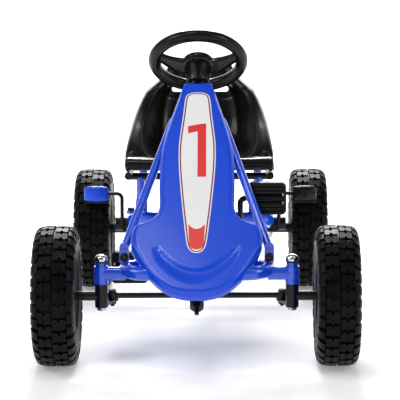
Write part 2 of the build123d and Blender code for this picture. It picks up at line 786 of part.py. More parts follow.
pedal_places = {
    "left": (pedal_centre, raised_pedal_y, raised_pedal_z),
    "right": (-pedal_centre, lowered_pedal_y, lowered_pedal_z),
}
for side, place in pedal_places.items():
    with BuildPart() as pedal:
        face = Plane(origin=place, x_dir=(1, 0, 0), z_dir=(0, -1, 0))
        with BuildSketch(face):
            RectangleRounded(pedal_width, pedal_height, 9)
        extrude(amount=pedal_thickness / 2, both=True)
        for end in (-1, 1):
            with BuildSketch(face.offset(end * (pedal_thickness / 2 - 3))):
                with GridLocations(0, 11, 1, 5):
                    Rectangle(pedal_width - 16, 4)
            extrude(amount=end * 4, mode=Mode.SUBTRACT)
        bore_plane = Plane(origin=place, x_dir=(0, 1, 0), z_dir=(1, 0, 0))
        disc(bore_plane, crank_rod_dia / 2 + running_fit, -pedal_width, pedal_width, Mode.SUBTRACT)
    finish(pedal.part, f"{side}_pedal")

# ---------------------------------------------------------------- nose
nose_outline = [
    (27.5, 534),
    (65, 382),
    (71, 290),
    (70, 221),
    (80, 195),
    (102, 182),
    (115, 175),
    (121, 158),
    (121, 136),
    (116, 114),
    (88, 62),
    (53, 26),
    (18, 13),
]
with BuildPart() as notch_cutter:
    bow_run(0, tube_dia + 2 * notch_gap)
    for s in sides.values():
        strut_run(s, strut_dia + 2 * notch_gap, 0)

with BuildPart() as nose:
    with BuildSketch(nose_plane.offset(-nose_depth)):
        with BuildLine():
            right_edge = Spline(*nose_outline)
            mirror(about=Plane.YZ)
            Line(right_edge @ 0, (-(right_edge @ 0).X, (right_edge @ 0).Y))
            Line(right_edge @ 1, (-(right_edge @ 1).X, (right_edge @ 1).Y))
        make_face()
    extrude(amount=nose_depth)
    nose_normal = Axis(nose_plane.origin, nose_plane.z_dir)
    chamfer(nose.faces().sort_by(nose_normal)[-1].edges(), nose_edge)
    offset(amount=-nose_wall, openings=[nose.faces().sort_by(nose_normal)[0]])
    disc(column_plane(0), column_dia / 2 + notch_gap, 0, wheel_station, Mode.SUBTRACT)
    add(notch_cutter.part, mode=Mode.SUBTRACT)
finish(nose.part, "nose_fairing")

with BuildPart() as number_panel:
    with BuildSketch(nose_plane):
        with Locations((0, panel_bottom + panel_length / 2)):
            SlotOverall(panel_length, panel_width, rotation=90)
    extrude(amount=panel_thickness)
finish(number_panel.part, "number_panel")

inner_skin = nose_plane.offset(-nose_wall)
with BuildPart() as nose_pads:
    for s in sides.values():
        pad_v = (bow_y - nose_plane.origin.Y) / math.cos(slope)
        with BuildSketch(inner_skin):
            with Locations((s * pad_half_spacing, pad_v - pad_shift)):
                Rectangle(20, 12)
        extrude(amount=-pad_depth)
    add(bow_envelope.part, mode=Mode.SUBTRACT)
    with BuildSketch(inner_skin):
        with Locations((0, hood_pad_v)):
            Rectangle(18, 16)
    extrude(amount=-hood_pad_depth)
    disc(column_plane(0), sleeve_dia / 2, sleeve_bottom - 20, sleeve_top + 20, Mode.SUBTRACT)
finish(nose_pads.part, "nose_pads")

# ---------------------------------------------------------------- seat and its rails
rail_start = rear_y + rail_front
rail_end = rear_y + rail_rear
front_bar_y = rear_y + front_bar_setback
rear_bar_y = rear_y + rear_bar_setback
bar_height = rail_height - 0.8 * rail_dia
with BuildPart() as rails:
    for s in sides.values():
        rail_plane = Plane((s * rail_half_width, rail_start, rail_height), (1, 0, 0), (0, 1, 0))
        with BuildSketch(rail_plane):
            Circle(rail_dia / 2)
            Circle(rail_dia / 2 - tube_wall, mode=Mode.SUBTRACT)
        extrude(amount=rail_end - rail_start)
finish(rails.part, "seat_rails")

with BuildPart() as rail_caps:
    for s in sides.values():
        rail_plane = Plane((s * rail_half_width, rail_start, rail_height), (1, 0, 0), (0, 1, 0))
        for end, out in ((0, -1), (rail_end - rail_start, 1)):
            disc(rail_plane, rail_dia / 2 - tube_wall, end - out * 8, end)
            disc(rail_plane, rail_dia / 2 + 0.5, end, end + out * 6)
finish(rail_caps.part, "rail_caps")

with BuildPart() as seat_bars:
    for y in (front_bar_y, rear_bar_y):
        bar_plane = Plane(origin=(0, y, bar_height), x_dir=(0, 1, 0), z_dir=(1, 0, 0))
        with BuildSketch(bar_plane.offset(-rail_half_width)):
            Circle(rail_dia / 2)
            Circle(rail_dia / 2 - tube_wall, mode=Mode.SUBTRACT)
        extrude(amount=2 * rail_half_width)
    for s in sides.values():
        rail_plane = Plane(origin=(s * rail_half_width, 0, rail_height), x_dir=(1, 0, 0), z_dir=(0, 1, 0))
        disc(rail_plane, rail_dia / 2, -wheelbase, wheelbase, Mode.SUBTRACT)
finish(seat_bars.part, "seat_cross_bars")

with BuildPart() as uprights:
    for s in sides.values():
        tube_run(
            [
                (s * upright_half_width, front_bar_y, bar_height),
                (s * upright_half_width, front_bar_y + 12, bar_height - 42),
                (s * (tail_half_width - 17), tail_y - 6, frame_height + tube_r + 5),
            ],
            28,
            upright_dia,
            tube_wall,
        )
        with BuildSketch(Plane.XY.offset(frame_height + tube_r - 3)):
            with Locations((s * (tail_half_width - 8), tail_y - 2)):
                SlotOverall(36, 18)
        extrude(amount=upright_pad_thickness)
        post_plane = Plane(origin=(s * post_half_width, rear_bar_y, 0))
        with BuildSketch(post_plane.offset(beam_height)):
            Circle(upright_dia / 2)
            Circle(upright_dia / 2 - tube_wall, mode=Mode.SUBTRACT)
        extrude(amount=bar_height - beam_height)
    for y in (front_bar_y, rear_bar_y):
        bar_plane = Plane(origin=(0, y, bar_height), x_dir=(0, 1, 0), z_dir=(1, 0, 0))
        disc(bar_plane, rail_dia / 2, -rail_half_width, rail_half_width, Mode.SUBTRACT)
    disc(beam_plane, beam_dia / 2, -beam_half_length, beam_half_length, Mode.SUBTRACT)
    add(tail_envelope.part, mode=Mode.SUBTRACT)
finish(uprights.part, "seat_uprights")

seat_bottom = rail_height + rail_dia / 2 + slide_top
with BuildPart() as seat_slides:
    for s in sides.values():
        for y in (front_slide_setback, rear_slide_setback):
            with BuildSketch(Plane((s * rail_half_width, rear_y + y, 0), (1, 0, 0), (0, -1, 0))):
                with Locations((0, (seat_bottom + rail_height - 4) / 2)):
                    Rectangle(slide_width, seat_bottom - rail_height + 4)
                with Locations((0, rail_height)):
                    Circle(rail_dia / 2 + running_fit, mode=Mode.SUBTRACT)
            extrude(amount=slide_length / 2, both=True)
finish(seat_slides.part, "seat_slides")

with BuildPart() as seat_knob:
    knob_plane = Plane(
        origin=(rail_half_width - slide_width / 2, rear_y + rear_slide_setback, rail_height + 3),
        x_dir=(0, 1, 0),
        z_dir=(-1, 0, 0),
    )
    disc(knob_plane, 4, 0, 6)
    disc(knob_plane, 7, 6, 16)
    fillet(seat_knob.edges().filter_by(GeomType.CIRCLE).sort_by(Axis.X)[0], 2.5)
finish(seat_knob.part, "seat_lock_knob")


def seat_side(points):
    """A closed outline of the seat in side view, into the part being built."""
    with BuildSketch(Plane.YZ) as outline:
        with BuildLine():
            Polyline(*[(rear_y + y, z) for y, z in points], close=True)
        make_face()
    return outline.sketch


base = seat_bottom
seat_shell_side = [
    (-272, base + 4), (-270, base + 14), (-256, base + 21), (-120, base + 21), (-72, base + 34),
    (-46, base + 86), (-16, base + 205), (-6, base + 205), (-30, base + 84), (-56, base + 12),
    (-76, base), (-268, base),
]
seat_bolster_side = [
    (-250, base + 18), (-228, base + 44), (-130, base + 60), (-96, base + 90), (-56, base + 190),
    (-14, base + 200), (-46, base + 86), (-72, base + 34), (-120, base + 21),
]
seat_front_outline = [
    (146, base - 4), (150, base + 10), (147, base + 50), (133, base + 100), (115, base + 138),
    (81, base + 162), (60, base + 206),
]
with BuildPart() as seat:
    extrude(seat_side(seat_shell_side), amount=seat_width / 2, both=True)
    for s in sides.values():
        bolster_face = seat_side(seat_bolster_side).moved(Location((s * bolster_inner, 0, 0)))
        extrude(bolster_face, amount=s * (seat_width / 2 - bolster_inner))
    with BuildSketch(Plane.XZ.offset(-rear_y)) as front_view:
        with BuildLine():
            Polyline(*seat_front_outline, *[(-x, z) for x, z in reversed(seat_front_outline)], close=True)
        make_face()
    extrude(front_view.sketch, amount=600, mode=Mode.INTERSECT)
    with BuildSketch(Plane.XZ.offset(-rear_y)) as slot_view:
        with Locations((-slot_half_spacing, base + slot_rise), (slot_half_spacing, base + slot_rise)):
            SlotOverall(slot_length, slot_width)
    extrude(slot_view.sketch, amount=120, mode=Mode.SUBTRACT)
    with BuildSketch(Plane.XY.offset(base - 20)) as cavity:
        with Locations((0, rear_y - 172)):
            RectangleRounded(seat_width - 60, 164, 12)
    extrude(cavity.sketch, amount=20 + cavity_depth, mode=Mode.SUBTRACT)
finish(seat.part, "seat_shell")

# ---------------------------------------------------------------- hand brake
pivot_y = rear_y + brake_setback
pivot_plane = Plane(origin=(0, pivot_y, brake_height), x_dir=(0, 1, 0), z_dir=(1, 0, 0))
shoe_inner = rear_track / 2 - 38
shoe_outer = rear_track / 2 + 14
with BuildPart() as brake_bar:
    tube_run(
        [
            (-shoe_outer, pivot_y + 2, grip_height),
            (-arm_half_width, pivot_y + 2, grip_height),
            (-arm_half_width, pivot_y, brake_height),
            (arm_half_width, pivot_y, brake_height),
            (arm_half_width, pivot_y + 2, grip_height),
            (shoe_outer, pivot_y + 2, grip_height),
        ],
        11,
        brake_rod_dia,
    )
finish(brake_bar.part, "brake_bar")

with BuildPart() as frame_tabs:
    for s in sides.values():
        tab_plane = Plane(origin=(s * brake_tab_x, 0, 0), x_dir=(0, s, 0), z_dir=(s, 0, 0))
        with BuildSketch(tab_plane):
            with Locations((s * pivot_y, brake_height)):
                Circle(9)
            with Locations((s * tail_y, frame_height)):
                Circle(9)
            make_hull()
            with Locations((s * pivot_y, brake_height)):
                Circle(brake_rod_dia / 2 + running_fit, mode=Mode.SUBTRACT)
        extrude(amount=5)
        foot_plane = Plane(origin=(s * foot_x, foot_y, foot_bolt_height), x_dir=(1, 0, 0), z_dir=(0, -1, 0))
        with BuildSketch(foot_plane):
            SlotOverall(foot_plate_length, foot_plate_width, rotation=90)
        extrude(amount=foot_plate_thickness)
        disc(foot_plane, foot_bolt_dia / 2, 0, foot_plate_thickness, Mode.SUBTRACT)
    add(tail_envelope.part, mode=Mode.SUBTRACT)
    add(bow_envelope.part, mode=Mode.SUBTRACT)
finish(frame_tabs.part, "frame_tabs")

shoe_angle = math.atan2(grip_height - axle_z, rear_y - pivot_y)
radial = Vector(0, -math.cos(shoe_angle), math.sin(shoe_angle))
pad_planes = {}
for side, s in sides.items():
    shoe_x = s * (shoe_inner + shoe_outer) / 2
    face_origin = Vector(shoe_x, rear_y, axle_z) + radial * (tyre_dia / 2 + pad_gap)
    pad_planes[side] = Plane(origin=face_origin, x_dir=(1, 0, 0), z_dir=radial)
rod_plane = Plane(origin=(0, pivot_y + 2, grip_height), x_dir=(0, 1, 0), z_dir=(1, 0, 0))

with BuildPart() as pads:
    for pad_plane in pad_planes.values():
        with BuildSketch(pad_plane):
            with Locations((0, pad_drop)):
                RectangleRounded(shoe_outer - shoe_inner, pad_height, 3)
        extrude(amount=pad_thickness)
finish(pads.part, "brake_pads")

for side, pad_plane in pad_planes.items():
    with BuildPart() as shoe:
        with BuildSketch(pad_plane.offset(pad_thickness)):
            RectangleRounded(shoe_outer - shoe_inner, shoe_height, 6)
        extrude(amount=shoe_thickness)
        disc(rod_plane, brake_rod_dia / 2, -wheelbase, wheelbase, Mode.SUBTRACT)
    finish(shoe.part, f"{side}_brake_shoe")
print("nodes", len(os.listdir("parts")))
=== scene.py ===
"""Pedal go kart: detailed pieces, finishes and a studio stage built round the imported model."""

import json
import math

import bmesh
import bpy
from bpy.props import FloatProperty, FloatVectorProperty, IntProperty, PointerProperty
from mathutils import Matrix, Vector


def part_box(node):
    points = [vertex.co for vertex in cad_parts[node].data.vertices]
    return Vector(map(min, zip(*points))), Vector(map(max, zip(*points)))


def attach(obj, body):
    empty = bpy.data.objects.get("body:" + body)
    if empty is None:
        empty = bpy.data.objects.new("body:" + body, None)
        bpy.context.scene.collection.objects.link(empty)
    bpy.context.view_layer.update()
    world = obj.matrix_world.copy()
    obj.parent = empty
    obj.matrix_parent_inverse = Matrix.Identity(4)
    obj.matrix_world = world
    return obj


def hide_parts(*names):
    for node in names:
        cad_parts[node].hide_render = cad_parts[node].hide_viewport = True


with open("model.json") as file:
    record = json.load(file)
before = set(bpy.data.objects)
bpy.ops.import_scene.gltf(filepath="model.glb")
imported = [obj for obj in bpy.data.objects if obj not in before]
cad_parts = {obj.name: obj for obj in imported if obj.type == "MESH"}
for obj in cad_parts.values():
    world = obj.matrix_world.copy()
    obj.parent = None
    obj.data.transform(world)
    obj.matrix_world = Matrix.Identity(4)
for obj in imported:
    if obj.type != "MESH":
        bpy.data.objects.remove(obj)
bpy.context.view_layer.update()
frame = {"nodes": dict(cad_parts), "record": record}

bl_info = {
    "name": "Pedal Go Kart Builder",
    "version": (1, 0, 0),
    "blender": (4, 5, 0),
    "location": "3D View > Sidebar > Go Kart",
    "description": "Builds a child's pedal go kart piece by piece",
    "category": "Add Mesh",
}

MM = 0.001
WHEEL_BODIES = {
    "left_front": "left_front_wheel",
    "right_front": "right_front_wheel",
    "left_rear": "rear_axle",
    "right_rear": "right_rear_wheel",
}
SIDES = {"left": 1, "right": -1}
FRONT_AXLE_Y = -0.35
AXLE_HEIGHT = 0.13
RAKE = math.radians(50)
COLUMN_AXIS = Vector((0, math.cos(RAKE), math.sin(RAKE)))
COLUMN_START = Vector((0, FRONT_AXLE_Y, 0.11))
KINGPIN_X = 0.176


# ------------------------------------------------------------------ settings
class KartSizes(bpy.types.PropertyGroup):
    """Sizes a user may change."""

    tread_pitches: IntProperty(
        name="Tread pitches", description="Blocks round one row of the tread", default=31, min=12, max=60
    )
    block_gap: FloatProperty(
        name="Block gap", description="Groove between two tread blocks", default=0.0055, unit="LENGTH"
    )
    grip_diameter: FloatProperty(
        name="Grip diameter", description="Thickness of the steering wheel rim", default=0.024, unit="LENGTH"
    )
    seat_wall: FloatProperty(
        name="Seat wall", description="Thickness of the moulded seat", default=0.004, unit="LENGTH"
    )
    nose_bevel: FloatProperty(
        name="Nose bevel", description="Width of the bevel round the nose", default=0.009, unit="LENGTH"
    )


class KartColours(bpy.types.PropertyGroup):
    """Colours a user may change."""

    paint: FloatVectorProperty(
        name="Frame paint", description="Powder coat on the tubes", subtype="COLOR",
        default=(0.004, 0.085, 0.8), min=0, max=1,
    )
    nose: FloatVectorProperty(
        name="Nose plastic", description="Moulded nose and brake grip", subtype="COLOR",
        default=(0.003, 0.072, 0.76), min=0, max=1,
    )
    trim: FloatVectorProperty(
        name="Number red", description="Number and its shield", subtype="COLOR",
        default=(0.87, 0.028, 0.022), min=0, max=1,
    )
    panel: FloatVectorProperty(
        name="Number panel", description="Ground behind the number", subtype="COLOR",
        default=(0.99, 0.99, 1.0), min=0, max=1,
    )


# ------------------------------------------------------------------ finishes
def finish_material(name, colour, roughness, metallic=0.0, coat=0.0, coat_roughness=0.06,
                    grain=0.0, grain_scale=900.0, shade=0.12, shade_scale=18.0, spread=0.06,
                    specular=0.5, dust=None, dust_amount=0.0, glow=0.0):
    """A procedural finish: a slow change of shade, uneven gloss, a fine surface grain and optional dust."""
    old = bpy.data.materials.get(name)
    if old:
        return old
    material = bpy.data.materials.new(name)
    material.use_nodes = True
    nodes, links = material.node_tree.nodes, material.node_tree.links
    surface = nodes["Principled BSDF"]
    place = nodes.new("ShaderNodeTexCoord")
    tone = nodes.new("ShaderNodeTexNoise")
    tone.inputs["Scale"].default_value = shade_scale
    tone.inputs["Detail"].default_value = 4.0
    links.new(place.outputs["Object"], tone.inputs["Vector"])
    ramp = nodes.new("ShaderNodeValToRGB")
    ramp.color_ramp.elements[0].position = 0.3
    ramp.color_ramp.elements[1].position = 0.7
    ramp.color_ramp.elements[0].color = (*[c * (1 - shade) for c in colour], 1)
    ramp.color_ramp.elements[1].color = (*[min(1, c * (1 + shade)) for c in colour], 1)
    links.new(tone.outputs["Fac"], ramp.inputs["Fac"])
    colour_out = ramp.outputs["Color"]
    if dust:
        grime = nodes.new("ShaderNodeTexNoise")
        grime.inputs["Scale"].default_value = 55.0
        grime.inputs["Detail"].default_value = 8.0
        links.new(place.outputs["Object"], grime.inputs["Vector"])
        limit = nodes.new("ShaderNodeMapRange")
        limit.inputs["From Min"].default_value = 0.45
        limit.inputs["From Max"].default_value = 0.75
        limit.inputs["To Max"].default_value = dust_amount
        links.new(grime.outputs["Fac"], limit.inputs["Value"])
        blend = nodes.new("ShaderNodeMix")
        blend.data_type = "RGBA"
        blend.inputs["B"].default_value = (*dust, 1)
        links.new(limit.outputs["Result"], blend.inputs["Factor"])
        links.new(colour_out, blend.inputs["A"])
        colour_out = blend.outputs["Result"]
    links.new(colour_out, surface.inputs["Base Color"])
    gloss = nodes.new("ShaderNodeMapRange")
    gloss.inputs["To Min"].default_value = max(0.02, roughness - spread)
    gloss.inputs["To Max"].default_value = min(1.0, roughness + spread)
    smear = nodes.new("ShaderNodeTexNoise")
    smear.inputs["Scale"].default_value = 60.0
    smear.inputs["Detail"].default_value = 6.0
    links.new(place.outputs["Object"], smear.inputs["Vector"])
    links.new(smear.outputs["Fac"], gloss.inputs["Value"])
    links.new(gloss.outputs["Result"], surface.inputs["Roughness"])
    if grain:
        fine = nodes.new("ShaderNodeTexNoise")
        fine.inputs["Scale"].default_value = grain_scale
        fine.inputs["Detail"].default_value = 3.0
        links.new(place.outputs["Object"], fine.inputs["Vector"])
        bump = nodes.new("ShaderNodeBump")
        bump.inputs["Strength"].default_value = grain
        bump.inputs["Distance"].default_value = 0.0004
        links.new(fine.outputs["Fac"], bump.inputs["Height"])
        links.new(bump.outputs["Normal"], surface.inputs["Normal"])
    surface.inputs["Metallic"].default_value = metallic
    surface.inputs["Coat Weight"].default_value = coat
    surface.inputs["Coat Roughness"].default_value = coat_roughness
    surface.inputs["Specular IOR Level"].default_value = specular
    surface.inputs["Emission Color"].default_value = (1, 1, 1, 1)
    surface.inputs["Emission Strength"].default_value = glow
    return material


def finishes():
    """Every finish of the kart by its slot name."""
    colours = bpy.context.scene.kart_colours
    black = (0.0045, 0.0045, 0.005)
    return {
        "blue_paint": finish_material(
            "blue_powder_coat", tuple(colours.paint), 0.22, coat=0.8, grain=0.05, grain_scale=700, shade=0.06,
            specular=0.5,
        ),
        "blue_plastic": finish_material(
            "blue_moulded_plastic", tuple(colours.nose), 0.3, coat=0.28, coat_roughness=0.1,
            grain=0.03, grain_scale=1400, shade=0.04, shade_scale=6, specular=0.3,
        ),
        "blue_rim": finish_material(
            "blue_rim_paint", tuple(colours.paint), 0.32, coat=0.5, grain=0.1, grain_scale=800, shade=0.08
        ),
        "black_plastic": finish_material(
            "black_gloss_plastic", black, 0.24, coat=0.1, coat_roughness=0.08, grain=0.05,
            grain_scale=1600, shade=0.2, spread=0.05, specular=0.26,
        ),
        "black_grip": finish_material(
            "black_soft_grip", (0.004, 0.004, 0.0043), 0.18, grain=0.06, grain_scale=1800, shade=0.2,
            spread=0.05, specular=0.22,
        ),
        "black_steel": finish_material(
            "black_powder_coat", (0.005, 0.005, 0.0055), 0.3, coat=0.05, grain=0.12, grain_scale=700,
            shade=0.2, specular=0.3,
        ),
        "tyre": finish_material(
            "tyre_rubber", (0.0035, 0.0035, 0.0037), 0.38, grain=0.35, grain_scale=1300, shade=0.3,
            shade_scale=30, spread=0.12, specular=0.1, dust=(0.011, 0.0105, 0.01), dust_amount=0.3,
        ),
        "pad_rubber": finish_material(
            "brake_rubber", (0.011, 0.011, 0.011), 0.7, grain=0.4, grain_scale=1500, shade=0.25
        ),
        "zinc": finish_material(
            "zinc_plate", (0.56, 0.57, 0.56), 0.34, metallic=1.0, grain=0.15, grain_scale=1500, shade=0.12,
            shade_scale=70, spread=0.12,
        ),
        "chrome": finish_material(
            "polished_chrome", (0.8, 0.8, 0.82), 0.1, metallic=1.0, grain=0.03, shade=0.05, spread=0.04
        ),
        "nylon": finish_material(
            "white_nylon", (0.72, 0.72, 0.68), 0.5, grain=0.12, grain_scale=1200, shade=0.06
        ),
        "decal": finish_material(
            "white_sticker", tuple(colours.panel), 0.3, coat=0.3, coat_roughness=0.1, grain=0.03, shade=0.02
        ),
        "decal_red": finish_material(
            "red_sticker", tuple(colours.trim), 0.32, coat=0.25, coat_roughness=0.1, grain=0.03, shade=0.04
        ),
        "decal_line": finish_material(
            "dark_red_line", (0.3, 0.004, 0.008), 0.4, grain=0.03, shade=0.05, specular=0.25,
        ),
    }


# ------------------------------------------------------------------ mesh helpers
def outward_mesh(name, verts, faces):
    """A mesh whose faces all point outwards."""
    mesh = bpy.data.meshes.new(name)
    mesh.from_pydata([tuple(v) for v in verts], [], faces)
    shell = bmesh.new()
    shell.from_mesh(mesh)
    bmesh.ops.recalc_face_normals(shell, faces=shell.faces)
    shell.to_mesh(mesh)
    shell.free()
    return mesh


def make_piece(name, verts, faces, body, slot, replaced=(), crease=38.0, extra=(), face_material=None):
    """Turn vertices and faces in metres into a finished piece that rides on a body."""
    mesh = outward_mesh(name, verts, faces)
    looks = finishes()
    for key in (slot, *extra):
        mesh.materials.append(looks[key])
    if face_material:
        for index, face in enumerate(mesh.polygons):
            face.material_index = face_material[index]
    mesh.shade_smooth()
    mesh.set_sharp_from_angle(angle=math.radians(crease))
    piece = bpy.data.objects.new(name, mesh)
    bpy.context.scene.collection.objects.link(piece)
    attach(piece, body)
    if replaced:
        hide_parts(*replaced)
    return piece


def round_edges(piece, width, segments=2, limit=35.0):
    """Soften the sharp edges of a piece."""
    bevel = piece.modifiers.new("edge rounding", "BEVEL")
    bevel.width = width
    bevel.segments = segments
    bevel.limit_method = "ANGLE"
    bevel.angle_limit = math.radians(limit)
    bevel.harden_normals = False


def placed(verts, matrix):
    """The same vertices after a move and turn."""
    return [matrix @ Vector(v) for v in verts]


def turned(profile, count, closed=True):
    """A profile of (along X, radius) turned about X. A closed profile makes a ring."""
    rows = len(profile)
    verts = []
    for k in range(count):
        angle = 2 * math.pi * k / count
        verts += [(x, r * math.cos(angle), r * math.sin(angle)) for x, r in profile]
    faces = []
    for k in range(count):
        near, far = k * rows, (k + 1) % count * rows
        for i in range(rows if closed else rows - 1):
            j = (i + 1) % rows
            faces.append((near + i, near + j, far + j, far + i))
    return verts, faces


def join_parts(parts):
    """Several (vertices, faces) as one."""
    verts, faces = [], []
    for part_verts, part_faces in parts:
        start = len(verts)
        verts += list(part_verts)
        faces += [tuple(start + i for i in face) for face in part_faces]
    return verts, faces


def capped_turn(profile, count):
    """A solid of revolution about X, whose profile starts and ends on the axis."""
    middle = profile[1:-1]
    verts, faces = turned(middle, count, closed=False)
    rows = len(middle)
    for point, row in ((profile[0], 0), (profile[-1], rows - 1)):
        tip = len(verts)
        verts.append((point[0], 0, 0))
        faces += [(k * rows + row, (k + 1) % count * rows + row, tip) for k in range(count)]
    return verts, faces


def prism_faces(count):
    """The faces between two outlines of the same count, with both ends closed."""
    faces = [tuple(range(count)), tuple(range(2 * count - 1, count - 1, -1))]
    for i in range(count):
        j = (i + 1) % count
        faces.append((i, j, count + j, count + i))
    return faces


def prism(outline, depth_low, depth_high):
    """A closed outline of (x, y) given a thickness along Z."""
    verts = [(x, y, depth_low) for x, y in outline] + [(x, y, depth_high) for x, y in outline]
    return verts, prism_faces(len(outline))


def grid_faces(rows, columns):
    """The faces of a grid of points, given row by row."""
    wide = columns + 1
    corners = [i * wide + j for i in range(rows) for j in range(columns)]
    return [(a, a + 1, a + wide + 1, a + wide) for a in corners]


def in_metres(profile):
    """A profile in millimetres as one in metres."""
    return [(x * MM, r * MM) for x, r in profile]


def rounded_rectangle(width, height, radius, steps=6):
    """The corner points of a rounded rectangle."""
    points = []
    for cx, cy, start in (
        (1, 1, 0), (-1, 1, 90), (-1, -1, 180), (1, -1, 270),
    ):
        for k in range(steps + 1):
            angle = math.radians(start + 90 * k / steps)
            points.append((
                cx * (width / 2 - radius) + radius * math.cos(angle),
                cy * (height / 2 - radius) + radius * math.sin(angle),
            ))
    return points


def smooth_line(points, count):
    """Points evenly spread along a smooth curve through the given ones."""
    dense = []
    padded_points = [points[0], *points, points[-1]]
    for i in range(1, len(padded_points) - 2):
        p0, p1, p2, p3 = (Vector(p) for p in padded_points[i - 1:i + 3])
        for k in range(24):
            t = k / 24
            dense.append(
                0.5 * (2 * p1 + (p2 - p0) * t + (2 * p0 - 5 * p1 + 4 * p2 - p3) * t ** 2
                       + (3 * p1 - p0 - 3 * p2 + p3) * t ** 3)
            )
    dense.append(Vector(points[-1]))
    lengths = [0.0]
    for a, b in zip(dense, dense[1:]):
        lengths.append(lengths[-1] + (b - a).length)
    result, at = [], 0
    for k in range(count):
        goal = lengths[-1] * k / (count - 1)
        while at < len(lengths) - 2 and lengths[at + 1] < goal:
            at += 1
        part = (goal - lengths[at]) / max(1e-9, lengths[at + 1] - lengths[at])
        result.append(dense[at].lerp(dense[at + 1], min(1, part)))
    return result


def table_value(table, x):
    """A value read from (x, value) rows, with straight lines between them."""
    if x <= table[0][0]:
        return table[0][1]
    for (x0, y0), (x1, y1) in zip(table, table[1:]):
        if x <= x1:
            return y0 + (y1 - y0) * (x - x0) / (x1 - x0)
    return table[-1][1]


def ease(x):
    """A smooth step from 0 to 1."""
    x = min(1, max(0, x))
    return x * x * (3 - 2 * x)


def middle_of(node):
    """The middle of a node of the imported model."""
    low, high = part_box(node)
    return (low + high) / 2


# ------------------------------------------------------------------ tyres and rims
CROWN_RADIUS = 130.0


def carcass_profile():
    """One tyre's section in millimetres: tread base, sidewalls, beads and liner."""
    outer = [
        (0, 124.4), (9, 124.2), (18, 123.3), (26, 121.0), (32, 117.0), (36, 111.0), (38.2, 104.0),
        (38.9, 97.0), (38.9, 91.0), (39.6, 90.2), (39.6, 87.4), (38.4, 86.4), (37.2, 80.0),
        (35.2, 74.0), (34.6, 72.2), (33.2, 71.8), (31.0, 67.0), (28.6, 62.0), (28.0, 58.4), (25.8, 57.6),
        (25.6, 51.3), (18.0, 51.3),
    ]
    inner = [(27.0, 72.0), (31.0, 90.0), (29.0, 108.0), (16.0, 117.0), (0, 118.0)]
    right = outer + inner
    left = [(-x, r) for x, r in reversed(right) if x > 0]
    return right + left


def tread_block(cx, angle, outline, top, base):
    """One raised block: its outline in (across, along) millimetres, on the crown."""
    verts = []
    for height, flare in ((base, 1.1), (top, 1.0)):
        for x, s in outline:
            across = cx + x * flare
            radius = height - 0.0022 * across * across
            turn = angle + s * flare / CROWN_RADIUS
            verts.append((across, radius * math.cos(turn), radius * math.sin(turn)))
    return verts, prism_faces(len(outline))


def shoulder_lug(side, angle, half_length, lean, long_lug):
    """One lug that wraps from the tread over the shoulder."""
    top = [(26.2, 128.3), (31.0, 126.6), (35.2, 123.0), (38.2, 117.0), (39.4, 111.5)]
    base = [(26.0, 120.0), (30.0, 116.5), (33.5, 112.0), (36.0, 107.0), (37.0, 103.0)]
    if long_lug:
        top += [(39.8, 104.0)]
        base += [(37.6, 99.0)]
    verts = []
    rows = len(top)
    for line, flare in ((base, 1.12), (top, 1.0)):
        for row, (x, r) in enumerate(line):
            shift = lean * row / (rows - 1)
            half = half_length * (1 - 0.12 * row / (rows - 1)) * flare
            for s in (shift - half, shift + half):
                turn = angle + s / CROWN_RADIUS
                verts.append((side * x, r * math.cos(turn), r * math.sin(turn)))
    lift = 2 * rows
    faces = []
    for i in range(rows - 1):
        a = 2 * i
        faces.append((a, a + 1, a + 3, a + 2))
        faces.append((lift + a, lift + a + 2, lift + a + 3, lift + a + 1))
        faces.append((a, a + 2, lift + a + 2, lift + a))
        faces.append((a + 1, lift + a + 1, lift + a + 3, a + 3))
    last = 2 * (rows - 1)
    faces.append((0, lift, lift + 1, 1))
    faces.append((last, last + 1, lift + last + 1, lift + last))
    return verts, faces


def tyre_mesh():
    """One knobby tyre about the X axis, in metres."""
    sizes = bpy.context.scene.kart_sizes
    count = sizes.tread_pitches
    pitch = 2 * math.pi * CROWN_RADIUS / count
    half = (pitch - sizes.block_gap / MM) / 2
    notch = [
        (-10.0, -half), (-2.3, -half), (-1.7, -half + 5.0), (1.7, -half + 5.0), (2.3, -half), (10.0, -half),
        (11.4, 2.0 - half), (11.4, half - 2.0), (10.0, half), (2.3, half), (1.7, half - 5.0),
        (-1.7, half - 5.0), (-2.3, half), (-10.0, half), (-11.4, half - 2.0), (-11.4, 2.0 - half),
    ]
    parts = [turned(carcass_profile(), 96)]
    for k in range(count):
        angle = 2 * math.pi * k / count
        step = math.pi / count
        for side in (1, -1):
            turn = angle + (step if side > 0 else 0)
            parts.append(tread_block(side * 13.3, turn, notch, CROWN_RADIUS, CROWN_RADIUS - 8.0))
            long_lug = (k + (side > 0)) % 2 == 0
            parts.append(shoulder_lug(side, turn + step, half * 0.86, side * 3.0, long_lug))
    verts, faces = join_parts(parts)
    return [(x * MM, y * MM, z * MM) for x, y, z in verts], faces


class KART_OT_tyres(bpy.types.Operator):
    """Build the four knobby tyres"""

    bl_idname = "kart.tyres"
    bl_label = "Tyres"

    def execute(self, context):
        verts, faces = tyre_mesh()
        for corner, body in WHEEL_BODIES.items():
            centre = middle_of(f"{corner}_tyre")
            place = Matrix.Translation(centre)
            if "left" in corner:
                place = place @ Matrix.Rotation(math.pi, 4, "Z")
            tyre = make_piece(
                f"{corner}_knobby_tyre", placed(verts, place), faces, body, "tyre",
                [f"{corner}_tyre"], crease=30,
            )
            round_edges(tyre, 0.0007, 2, 40)
        return {"FINISHED"}


